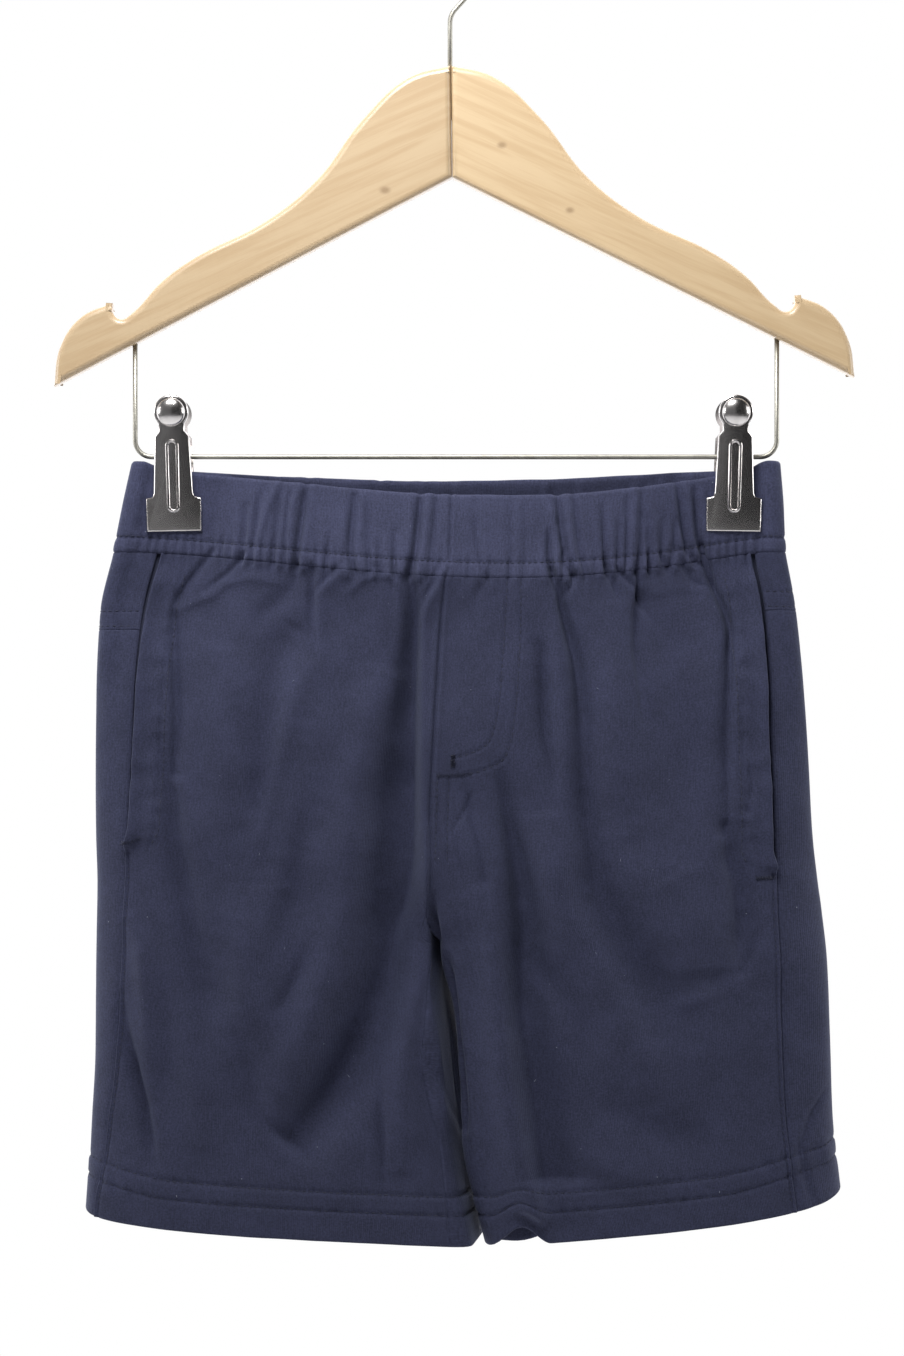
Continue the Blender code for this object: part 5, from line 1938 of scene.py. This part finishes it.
JERSEY = Finish("navy jersey", "jersey knit", NAVY, CLOTH, 0.5, 0.2)
# The band's finish: a lighter copy of the jersey, partly painted light from above.
LIT_BAND_JERSEY = Finish("navy jersey of the band, painted lighter", "jersey knit", LIT_BAND_NAVY, CLOTH, 0.5, 0.2)
POCKETING = Finish("navy pocketing", "jersey knit", POCKET_NAVY, CLOTH, 0.3, 0.1)
THREAD = Finish("navy thread", "jersey knit", THREAD_NAVY, THREAD_SHADER, 0.3, 0.05)
# Painted light: the left arm's maple is lighter than the right arm's.
MAPLES = {
    Half.RIGHT: Finish("maple of the right arm, painted darker", "board grain", SHADED_RIGHT_MAPLE, LACQUER, 0.12, 0.1),
    Half.LEFT: Finish("maple of the left arm, painted lighter", "board grain", LIT_LEFT_MAPLE, LACQUER, 0.12, 0.1),
}
WIRE_STEEL = Finish("bright wire", "plating", WIRE_VALUES, METAL, 0.05, 0.05)
CLIP_STEEL = Finish("plated clip", "plating", CLIP_VALUES, METAL, 0.03, 0.05)


# ---------------------------------------------------------------- sub-assemblies
def finish_piece(obj: Object, slot: str, *nodes: str) -> Object:
    """Ties a piece to the frame and reports it.

    Args:
        obj: the piece.
        slot: the record's material slot; not used.
        nodes: the solids that it stands for.

    Returns:
        The piece.
    """
    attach(obj, BODY)
    if nodes:
        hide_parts(*nodes)
    log.info("%s: %d faces", obj.name, len(obj.data.polygons))
    return obj


# Seed, shortest and longest wave, height and number of the three kinds of unevenness.
WAVES = [(3, 38.0, 95.0, 0.45), (21, 16.0, 36.0, 0.16, 24), (8, 6.0, 13.0, 0.045, 30)]


@dataclass
class Shorts:
    """The garment: panels, yokes, pockets, waistband and their stitching.

    cloth, band_cloth and pocketing are thicknesses; the last two fields are a length down each side seam.
    """

    form: GarmentForm = field(default_factory=GarmentForm)
    cloth: float = 1.5
    band_cloth: float = 2.6
    pocketing: float = 1.2
    yoke_at_side: dict[Half, float] = field(default_factory=lambda: {Half.RIGHT: 33.0, Half.LEFT: 25.0})
    mouth_end: dict[Half, float] = field(default_factory=lambda: {Half.RIGHT: 127.0, Half.LEFT: 138.0})

    def __post_init__(self) -> None:
        """Prepares what shapes the two faces."""
        waist = Waistline(self.form)
        waves = [SoftWaves(*numbers) for numbers in WAVES]
        fly = [Crease(points, 0.3, (1.0,), (0.8,), (), (0.5, 0.5), 1.0) for points in FLY_ROWS]
        self.reliefs = {
            Face.FRONT: Relief(FRONT_CREASES + fly + waist.front(), waves),
            Face.BACK: Relief(BACK_CREASES + waist.back(), waves),
        }
        self.jersey = JERSEY.build()
        self.lit_band_jersey = LIT_BAND_JERSEY.build()
        self.inside = POCKETING.build()
        self.thread = THREAD.build()

    def panel(self, half: Half, kind: type[PanelPiece], name: str, face: Face, thickness: float,
              spans: tuple[float, float], steps: tuple[int, int], **more: object) -> PanelPiece:
        """Lays out one panel.

        Args:
            half: which half it is part of.
            kind: its class.
            name: its name without the side.
            face: the face that it starts on.
            thickness: its thickness.
            spans: its width and length.
            steps: its steps across and down.
            more: what only its class has.

        Returns:
            The panel.
        """
        named = f"{name}_{half.value}"
        return kind(named, thickness, spans, steps, self.form, half, face, self.reliefs, **more)

    def dress(self, piece: ClothPiece, node: str, slot: str, material: Material) -> Object:
        """Builds a piece, ties it to the frame and hides the solid that it stands for.

        Args:
            piece: the piece.
            node: the solid that it stands for.
            slot: the record's material slot.
            material: the finish.

        Returns:
            The object.
        """
        obj = finish_piece(piece.build(material), slot, node)
        return obj

    def build(self) -> None:
        """Builds every cloth piece and the stitching."""
        rows: dict[str, list[StitchRow]] = {}
        for half in Half:
            rows.update(self.build_half(half))
        for face in Face:
            rows.update(self.build_band(face))
        for name, group in rows.items():
            thread = join_parts([part for row in group for part in row.threads()])
            finish_piece(new_mesh(f"stitching_{name}", thread, self.thread), "navy_jersey")

    def build_half(self, half: Half) -> dict[str, list[StitchRow]]:
        """Builds the panels of one half.

        Args:
            half: which half.

        Returns:
            Rows of stitches on them, by the piece's name.
        """
        side, cloth, lining = half.value, self.cloth, self.pocketing
        before, behind = (f"waistband_{face.value}" for face in Face)
        panel = partial(self.panel, half)
        front = panel(FrontPiece, "front_panel", Face.FRONT, cloth, (150.0, 283.0), (184, 330),
                      mouth_end=self.mouth_end[half])
        yoke = panel(YokePiece, "back_yoke", Face.BACK, cloth, (165.0, 42.0), (150, 40),
                     at_side=self.yoke_at_side[half])
        back = panel(BackPiece, "back_panel", Face.BACK, cloth, (172.0, 240.0), (150, 200), yoke=yoke)
        pocket = panel(PocketPiece, "pocket_bag", Face.FRONT, lining, (61.0, 157.0), (40, 84))
        for piece, name, flat, area, on in (
            (front, "front", (0.165, 0.290), 0.0425, before),
            (yoke, "yoke", (0.190, 0.055), 0.0080, behind),
            (back, "back", (0.185, 0.265), 0.0430, f"yoke_{side}"),
        ):
            self.dress(piece, f"{name}_{side}", "navy_jersey", self.jersey)
        self.dress(pocket, f"pocket_{side}", "navy_pocketing", self.inside)
        return self.rows_of_half(half, front, yoke, back)

    def rows_of_half(self, half: Half, front: FrontPiece, yoke: YokePiece,
                     back: BackPiece) -> dict[str, list[StitchRow]]:
        """Rows of stitches on the panels of one half.

        Args:
            half: which half.
            front: its front.
            yoke: its yoke.
            back: its back panel.

        Returns:
            The rows, by the piece's name.
        """
        inner = np.linspace(0.0, 1.0, 400) * 0.99 + 0.005
        on_front = [self.hem_row(front, inner, height) for height in (front.hem.lower, front.hem.upper)]
        on_back = [self.hem_row(back, inner, height) for height in (back.hem.lower, back.hem.upper)]
        mouth = front.mouth_end / self.form.length
        strip, below = np.linspace(0.03, 0.97 * mouth, 300), np.linspace(mouth + 0.02, 0.99, 300)
        aside = front.strip + front.gap(strip)
        on_front.append(StitchRow(front, 1.0 - aside / front.table.width(strip), strip))
        on_front.append(StitchRow(front, 1.0 - front.seam_row / front.table.width(below), below))
        yoke_long = yoke.seam_share(inner) * self.form.length
        on_yoke = [StitchRow(yoke, inner, 1.0 - up / yoke_long) for up in yoke.rows]
        on_front += [Bartack(front, *front.own(points, 40)) for points in BARTACKS[half]]
        if half is Half.LEFT:
            on_front += [StitchRow(front, *front.own(points)) for points in FLY_ROWS]
        names = (f"{name}_{half.value}" for name in ("front", "back", "yoke"))
        return dict(zip(names, (on_front, on_back, on_yoke)))

    def hem_row(self, piece: FrontPiece | BackPiece, us: Array, height: float) -> StitchRow:
        """A row of stitches above a panel's hem.

        Args:
            piece: the panel.
            us: its own coordinate across at each place of the row.
            height: the row's height above the hem's edge.

        Returns:
            The row.
        """
        at = piece.table.sample(*piece.place(us, np.ones_like(us)))
        drop = self.form.seam_z(at.x, at.y) - self.form.hem_z(piece.half, at.x)
        share = 1.0 - (height + piece.hem.lift(piece.half, at.x)) / drop
        if isinstance(piece, BackPiece):
            share = (share - piece.top(us)) / (1.0 - piece.top(us))
        return StitchRow(piece, us, share)

    def build_band(self, face: Face) -> dict[str, list[StitchRow]]:
        """Builds half of the waistband.

        Args:
            face: which face.

        Returns:
            Its row of stitches.
        """
        side, steps = face.value, (640, 62) if face is Face.FRONT else (400, 46)
        band = BandPiece(f"waistband_casing_{side}", self.band_cloth, (292.0, 35.0), steps, self.form, face,
                         self.reliefs)
        self.dress(band, f"waistband_{side}", "navy_jersey", self.lit_band_jersey)
        us = np.linspace(0.004, 0.996, 900)
        row = StitchRow(band, us, np.full_like(us, band.row_up / band.height), pitch=2.6, stitch=1.9)
        return {f"band_{side}": [row]}


# Out from the middle, down from the apex, and whether the outline is smooth there.
ARM_OUTLINE = [
    (0.0, -47.3, False),
    (18.1, -42.3, True),
    (37.5, -25.1, True),
    (57.3, 0.4, True),
    (78.8, 17.5, True),
    (110.0, 33.2, True),
    (123.8, 43.0, True),
    (136.3, 56.0, True),
    (141.0, 58.6, True),
    (144.4, 56.0, True),
    (144.6, 51.6, False),
    (158.5, 57.9, True),
    (167.2, 70.5, True),
    (169.8, 86.7, False),
    (0.0, 0.0, False),
]


@dataclass
class Hanger:
    """Wooden arms, the hook and the trouser bar. Angles are in degrees."""

    thick: float = 12.0
    edge: float = 2.6
    apex: tuple[float, float] = (0.9, -122.9)
    tilt: float = 0.65
    joint_gap: float = 0.12
    wire: float = 2.1
    sides: int = 20
    hook_radius: float = 22.0
    hook_lean: float = 52.0
    hook_end: float = 205.0
    hook_tip: float = 3.0
    hook_flick: float = 0.9
    stem_top: float = -57.0
    stem_bend: float = 9.0
    stem_end: float = -98.0
    bar_z: float = -241.3
    bar_ends: tuple[float, float] = (-133.8, 138.9)
    bar_top: float = -186.0
    bar_bend: float = 7.0

    def build(self) -> None:
        """Builds the arms and the two wires."""
        steel = WIRE_STEEL.build()
        for half in Half:
            finish_piece(self.arm(half), "maple", f"wood_{half.value}")
        for name, path in (("hook", self.hook_path()), ("trouser_bar", self.bar_path())):
            wire = new_wire(f"{name}_wire", tube(path, self.wire / 2.0, self.sides), steel)
            finish_piece(wire, "steel_wire", name)

    def arm(self, half: Half) -> Object:
        """One arm of the body, a flat outline with rounded edges.

        Args:
            half: which arm.

        Returns:
            The object.
        """
        curve = bpy.data.curves.new(f"arm_{half.value}", "CURVE")
        curve.dimensions = "2D"
        curve.fill_mode = "BOTH"
        curve.extrude = (self.thick / 2.0 - self.edge) * MM
        curve.bevel_depth = self.edge * MM
        curve.bevel_resolution = 5
        curve.offset = -self.edge * MM
        curve.resolution_u = 14
        spline = curve.splines.new("BEZIER")
        spline.use_cyclic_u = True
        spline.bezier_points.add(len(ARM_OUTLINE) - 1)
        for knot, (out, down, smooth) in zip(spline.bezier_points, ARM_OUTLINE):
            knot.co = (half.outward * max(out, self.joint_gap / 2.0) * MM, -down * MM, 0.0)
            knot.handle_left_type = knot.handle_right_type = "AUTO" if smooth else "VECTOR"
        flat = linked(f"arm_{half.value}", curve)
        bpy.context.view_layer.update()
        mesh = bpy.data.meshes.new_from_object(flat.evaluated_get(bpy.context.evaluated_depsgraph_get()))
        bpy.data.objects.remove(flat)
        turn = (math.radians(90.0), math.radians(-self.tilt), 0.0)
        mesh.transform(placed((self.apex[0], 0.0, self.apex[1]), turn))
        tidy_mesh(mesh, flat_axis=1)
        mesh.materials.clear()
        mesh.materials.append(MAPLES[half].build())
        return linked(f"hanger_arm_{half.value}", mesh)

    def bend(self, centre: tuple[float, float], radius: float, start: float, stop: float,
             count: int) -> Array:
        """Points of an arc in the XZ plane.

        Args:
            centre: X and Z of its centre.
            radius: its radius.
            start: where it starts, in degrees.
            stop: where it stops, in degrees.
            count: its number of steps.

        Returns:
            One row a point.
        """
        angles = np.radians(np.linspace(start, stop, count + 1))
        x, z = centre[0] + radius * np.cos(angles), centre[1] + radius * np.sin(angles)
        return np.stack([x, np.zeros_like(x), z], axis=1)

    def hook_path(self) -> Array:
        """Middle of the hook's wire: stem, slant and bow.

        Returns:
            One row a point.
        """
        stem = np.array([(0.0, 0.0, self.stem_end), (0.0, 0.0, self.stem_top - 1.0)])
        lower = self.bend((self.stem_bend, self.stem_top), self.stem_bend, 180.0, 90.0 + self.hook_lean, 10)
        centre = (0.0, self.wire / 2.0 - self.hook_radius)
        bow = self.bend(centre, self.hook_radius, self.hook_lean - 90.0, self.hook_end, 80)
        heading = math.radians(self.hook_end + 90.0)
        on = self.hook_tip * math.cos(heading) - self.hook_flick
        tip = bow[-1] + (on, 0.0, self.hook_tip * math.sin(heading))
        return np.concatenate([stem, lower, bow, tip[None, :]])

    def bar_path(self) -> Array:
        """Middle of the trouser bar's wire.

        Returns:
            One row a point.
        """
        left, right = self.bar_ends
        low = self.bar_z + self.bar_bend
        down = self.bend((left + self.bar_bend, low), self.bar_bend, 180.0, 270.0, 14)
        up = self.bend((right - self.bar_bend, low), self.bar_bend, 270.0, 360.0, 14)
        return np.concatenate([[(left, 0.0, self.bar_top)], down, up, [(right, 0.0, self.bar_top)]])


@dataclass
class Clip:
    """A spring clip: two stamped plates with ears on the bar, and a coil between them.

    A plate's own frame has X across, Z up from the jaw's edge, and -Y out of the clip. Its ears reach
    ear_past beyond the bar. The spring's numbers are its wire's and its own radius, turns and half length.
    """

    half: Half
    x: float
    lean: float
    jaw_z: float = -273.3
    jaw_y: float = 3.6
    splay: float = 7.0
    plate: float = 1.0
    rim: float = 0.95
    jaw_half: float = 11.8
    jaw_height: float = 14.4
    neck_low: float = 8.4
    neck_high: float = 7.3
    shoulder_z: float = 40.6
    slope: tuple[float, float] = (0.6, 2.2)
    throat: float = 5.5
    head_z: float = 50.8
    head_radius: float = 7.4
    dome_radius: float = 6.1
    dome_height: float = 3.1
    dome_angle: float = 86.0
    dome_sides: int = 40
    ring_half: float = 2.1
    ring_z: tuple[float, float] = (11.0, 36.6)
    ring_wire: float = 0.78
    ring_sides: int = 12
    ear_x: dict[Face, float] = field(default_factory=lambda: {Face.FRONT: 5.4, Face.BACK: 4.1})
    ear_past: float = 2.6
    ear_radius: float = 2.8
    ear_thick: float = 0.9
    bar_z: float = -241.3
    spring_wire: float = 0.35
    spring_sides: int = 8
    spring_radius: float = 2.15
    spring_turns: float = 5.5
    spring_half: float = 2.4
    spring_leg: tuple[float, float] = (0.9, 9.0)

    def outline(self) -> Array:
        """Outline of a plate, across and up.

        Returns:
            Points all round, from the jaw's lower corner.
        """
        run_in, run_up = self.slope
        half = [
            (self.jaw_half, 0.0),
            (self.jaw_half, self.jaw_height),
            (self.neck_low + run_in, self.jaw_height + run_in),
            (self.neck_low, self.jaw_height + run_up),
            (self.neck_high, self.shoulder_z),
            (self.throat, self.shoulder_z + run_up),
        ]
        start = -math.degrees(math.acos(self.throat / self.head_radius))
        radius = self.head_radius
        for angle in np.radians(np.linspace(start, 90.0, 15)):
            half.append((radius * math.cos(angle), self.head_z + radius * math.sin(angle)))
        return np.array(half + [(-x, z) for x, z in reversed(half[:-1])])

    def sheet_part(self) -> Part:
        """The flat stamping, its outer edge rolled over.

        Returns:
            Points and faces.
        """
        outline = self.outline()
        edge = np.roll(outline, -1, 0) - outline
        normal = unit(np.stack([edge[:, 1], -edge[:, 0]], axis=1))
        before = np.roll(normal, 1, 0)
        corner = (normal + before) / (1.0 + np.sum(normal * before, axis=1, keepdims=True))
        turns = np.radians(np.linspace(0.0, 90.0, 6))
        rim, thick = self.rim, self.plate
        rolled = [(rim * (1.0 - math.cos(t)), -thick + rim * (1.0 - math.sin(t))) for t in turns]
        rings = [(0.0, 0.0), *rolled]
        points, faces, count = [], [], len(outline)
        for inset, y in rings:
            points += [(x, y, z) for x, z in outline - corner * inset]
        for ring in range(len(rings) - 1):
            faces += ring_faces(ring * count, (ring + 1) * count, count)
        faces.append(list(range(count))[::-1])
        faces.append(list(range((len(rings) - 1) * count, len(rings) * count)))
        return np.array(points), faces

    def dome_part(self) -> Part:
        """The head's pressed dome with the shallow channel round it.

        Returns:
            Points and faces.
        """
        steps, sides = np.radians(np.linspace(0.0, self.dome_angle, 12)), self.dome_sides
        wide, high, back = self.dome_radius, self.dome_height, -self.plate
        profile = [(wide * math.sin(t), back - high * math.cos(t)) for t in steps[1:]]
        profile += [(wide, 0.5 * back)]
        points = [(0.0, back - high, self.head_z)]
        angles = [2.0 * math.pi * k / sides for k in range(sides)]
        for radius, y in profile:
            points += [(radius * math.cos(a), y, self.head_z + radius * math.sin(a)) for a in angles]
        faces = [[0, 1 + k, 1 + (k + 1) % sides] for k in range(sides)]
        for ring in range(len(profile) - 1):
            faces += ring_faces(1 + (ring + 1) * sides, 1 + ring * sides, sides)
        return np.array(points), faces

    def ring_part(self) -> Part:
        """The raised oblong ring.

        Returns:
            Points and faces.
        """
        low, high = self.ring_z
        path = []
        for centre, start in ((high, 0.0), (low, 180.0)):
            turns = np.radians(start + np.linspace(0.0, 180.0, 13))
            ends = self.ring_half * np.cos(turns), centre + self.ring_half * np.sin(turns)
            path.append(np.stack([ends[0], np.full_like(turns, -self.plate), ends[1]], axis=1))
        return tube(np.concatenate(path), self.ring_wire, self.ring_sides, closed=True)

    def ear_part(self, x: float, reach: float, height: float) -> Part:
        """A lug bent in from the plate, its end rounded about the bar.

        Args:
            x: the lug's middle.
            reach: how far in it goes.
            height: the bar's height up the plate.

        Returns:
            Points and faces.
        """
        radius, thick = self.ear_radius, self.ear_thick
        angles = np.radians(np.linspace(-90.0, 90.0, 13))
        outline = [(-0.5 * self.plate, height - radius)]
        outline += [(reach - radius + radius * math.cos(t), height + radius * math.sin(t)) for t in angles]
        outline += [(-0.5 * self.plate, height + radius)]
        count = len(outline)
        points = [(x + side * thick / 2.0, y, z) for side in (-1.0, 1.0) for y, z in outline]
        ends = [list(range(count))[::-1], list(range(count, 2 * count))]
        return np.array(points), ring_faces(0, count, count) + ends

    def plate_piece(self, face: Face, material: Material) -> Object:
        """One plate with its dome, ring and ears.

        Args:
            face: which plate.
            material: its finish.

        Returns:
            The object, in place.
        """
        splay, lean = math.radians(self.splay), math.radians(self.lean)
        rise = self.bar_z - self.jaw_z
        height = rise * math.cos(splay)
        reach = self.jaw_y + rise * math.sin(splay) + self.ear_past
        parts = [self.sheet_part(), self.dome_part(), self.ring_part()]
        parts += [self.ear_part(side * self.ear_x[face], reach, height) for side in (-1.0, 1.0)]
        obj = new_mesh(f"clip_plate_{self.half.value}_{face.value}", join_parts(parts), material)
        tidy_mesh(obj.data, angle=28.0)
        turn = (splay, lean * face.outward, math.pi if face is Face.BACK else 0.0)
        obj.data.transform(placed((self.x, face.outward * self.jaw_y, self.jaw_z), turn))
        return obj

    def spring_piece(self, material: Material) -> Object:
        """The coil round the bar, with a straight leg against each plate.

        Args:
            material: its finish.

        Returns:
            The object, in place.
        """
        radius, (aside, up) = self.spring_radius, self.spring_leg
        middle = self.x - math.tan(math.radians(self.lean)) * (self.bar_z - self.jaw_z)
        angles = np.linspace(0.0, 2.0 * math.pi * self.spring_turns, 160)
        x = middle + np.linspace(-self.spring_half, self.spring_half, len(angles))
        coil = np.stack([x, -radius * np.cos(angles), self.bar_z + radius * np.sin(angles)], axis=1)
        first = coil[0] + np.array([[0.0, -aside, up], [0.0, -aside / 2.0, up / 2.0]])
        last = coil[-1] + np.array([[0.0, aside / 2.0, up / 2.0], [0.0, aside, up]])
        part = tube(np.concatenate([first, coil, last]), self.spring_wire, self.spring_sides)
        return new_wire(f"spring_{self.half.value}", part, material)

    def build(self, plate: Material, wire: Material) -> None:
        """Builds the clip's three pieces.

        Args:
            plate: the plates' finish.
            wire: the spring's finish.
        """
        side = self.half.value
        for face in Face:
            finish_piece(self.plate_piece(face, plate), "clip_steel", f"clip_{side}_{face.value}")
        finish_piece(self.spring_piece(wire), "steel_wire", f"clip_{side}_spring")


# ---------------------------------------------------------------- studio
@dataclass
class Studio:
    """Camera, soft lights, a white surround and a pale floor, in metres.

    Each lamp has its place, size and power.
    """

    eye: Triple = (0.00085, -1.55, -0.3353)
    lens: float = 96.8
    sensor: float = 36.0
    far: float = 30.0
    aim: Triple = (0.0, 0.0, -0.4)
    lamps: dict[str, tuple[Triple, float, float]] = field(default_factory=lambda: {
        "above": ((-0.12, -0.36, 0.26), 0.32, 7.7),
        "right": ((1.5, -0.34, -0.1), 0.6, 9.5),
        "left": ((-1.5, -0.34, -0.1), 0.6, 8.8),
    })
    floor_z: float = -1.3
    floor_radius: float = 2.2

    def build(self) -> None:
        """Builds all of it."""
        self.camera()
        self.world()
        self.floor()
        for name, (place, size, power) in self.lamps.items():
            self.lamp(name, place, size, power)
        bpy.context.scene.view_settings.view_transform = "Standard"

    def camera(self) -> None:
        """Level, square to the garment."""
        data = bpy.data.cameras.new("camera")
        data.lens = self.lens
        data.sensor_width = self.sensor
        data.clip_end = self.far
        camera = linked("camera", data)
        camera.location = self.eye
        camera.rotation_euler = (math.radians(90.0), 0.0, 0.0)
        bpy.context.scene.camera = camera

    def lamp(self, name: str, place: Triple, size: float, power: float) -> None:
        """A square soft light aimed at the garment.

        Args:
            name: its name.
            place: where it stands.
            size: the length of its side.
            power: its power in watts.
        """
        data = bpy.data.lights.new(name, "AREA")
        data.shape = "SQUARE"
        data.size = size
        data.energy = power
        lamp = linked(name, data)
        lamp.location = place
        lamp.rotation_euler = (Vector(self.aim) - Vector(place)).to_track_quat("-Z", "Y").to_euler()

    def world(self) -> None:
        """White all round to the eye; what it lights is darker towards the front."""
        world = bpy.data.worlds.new("surround")
        world.use_nodes = True
        board = Board(world.node_tree)
        way = board.add("SeparateXYZ", {"Vector": board.add("TexCoord").outputs["Generated"]})
        behind = board.times(board.ramp(way.outputs[1], -0.12, 0.45), 2.1)
        beside = board.times(board.ramp(way.outputs[0], 0.02, -0.05), 0.13)
        level = board.plus(0.02, board.plus(behind, beside))
        grey = board.add("CombineColor", {"Red": level, "Green": level, "Blue": board.times(level, 1.03)})
        seen = board.add("LightPath").outputs["Is Camera Ray"]
        light = board.mix(seen, grey.outputs[0], (1.0, 1.0, 1.0, 1.0))
        board.set(world.node_tree.nodes["Background"].inputs["Color"], light)
        bpy.context.scene.world = world

    def floor(self) -> None:
        """A pale round floor below the hanging garment."""
        bm = bmesh.new()
        bmesh.ops.create_circle(bm, cap_ends=True, segments=96, radius=self.floor_radius)
        mesh = bpy.data.meshes.new("floor")
        bm.to_mesh(mesh)
        bm.free()
        material = bpy.data.materials.new("pale floor")
        material.use_nodes = True
        shader = material.node_tree.nodes["Principled BSDF"]
        shader.inputs["Base Color"].default_value = (0.9, 0.9, 0.9, 1.0)
        shader.inputs["Roughness"].default_value = 0.8
        mesh.materials.append(material)
        obj = linked("floor", mesh)
        obj.location = (0.0, 0.0, self.floor_z)


def main() -> None:
    """Builds the shorts, the hanger, the clips and the studio."""
    logging.basicConfig(level=logging.INFO, format="%(name)s: %(message)s")
    for make in (knit_group, grain_group, plating_group):
        make()
    Shorts().build()
    Hanger().build()
    plate, wire = CLIP_STEEL.build(), WIRE_STEEL.build()
    for clip in (Clip(Half.RIGHT, -116.8, 1.2), Clip(Half.LEFT, 120.2, -0.8)):
        clip.build(plate, wire)
    Studio().build()


if __name__ == "__main__":
    main()
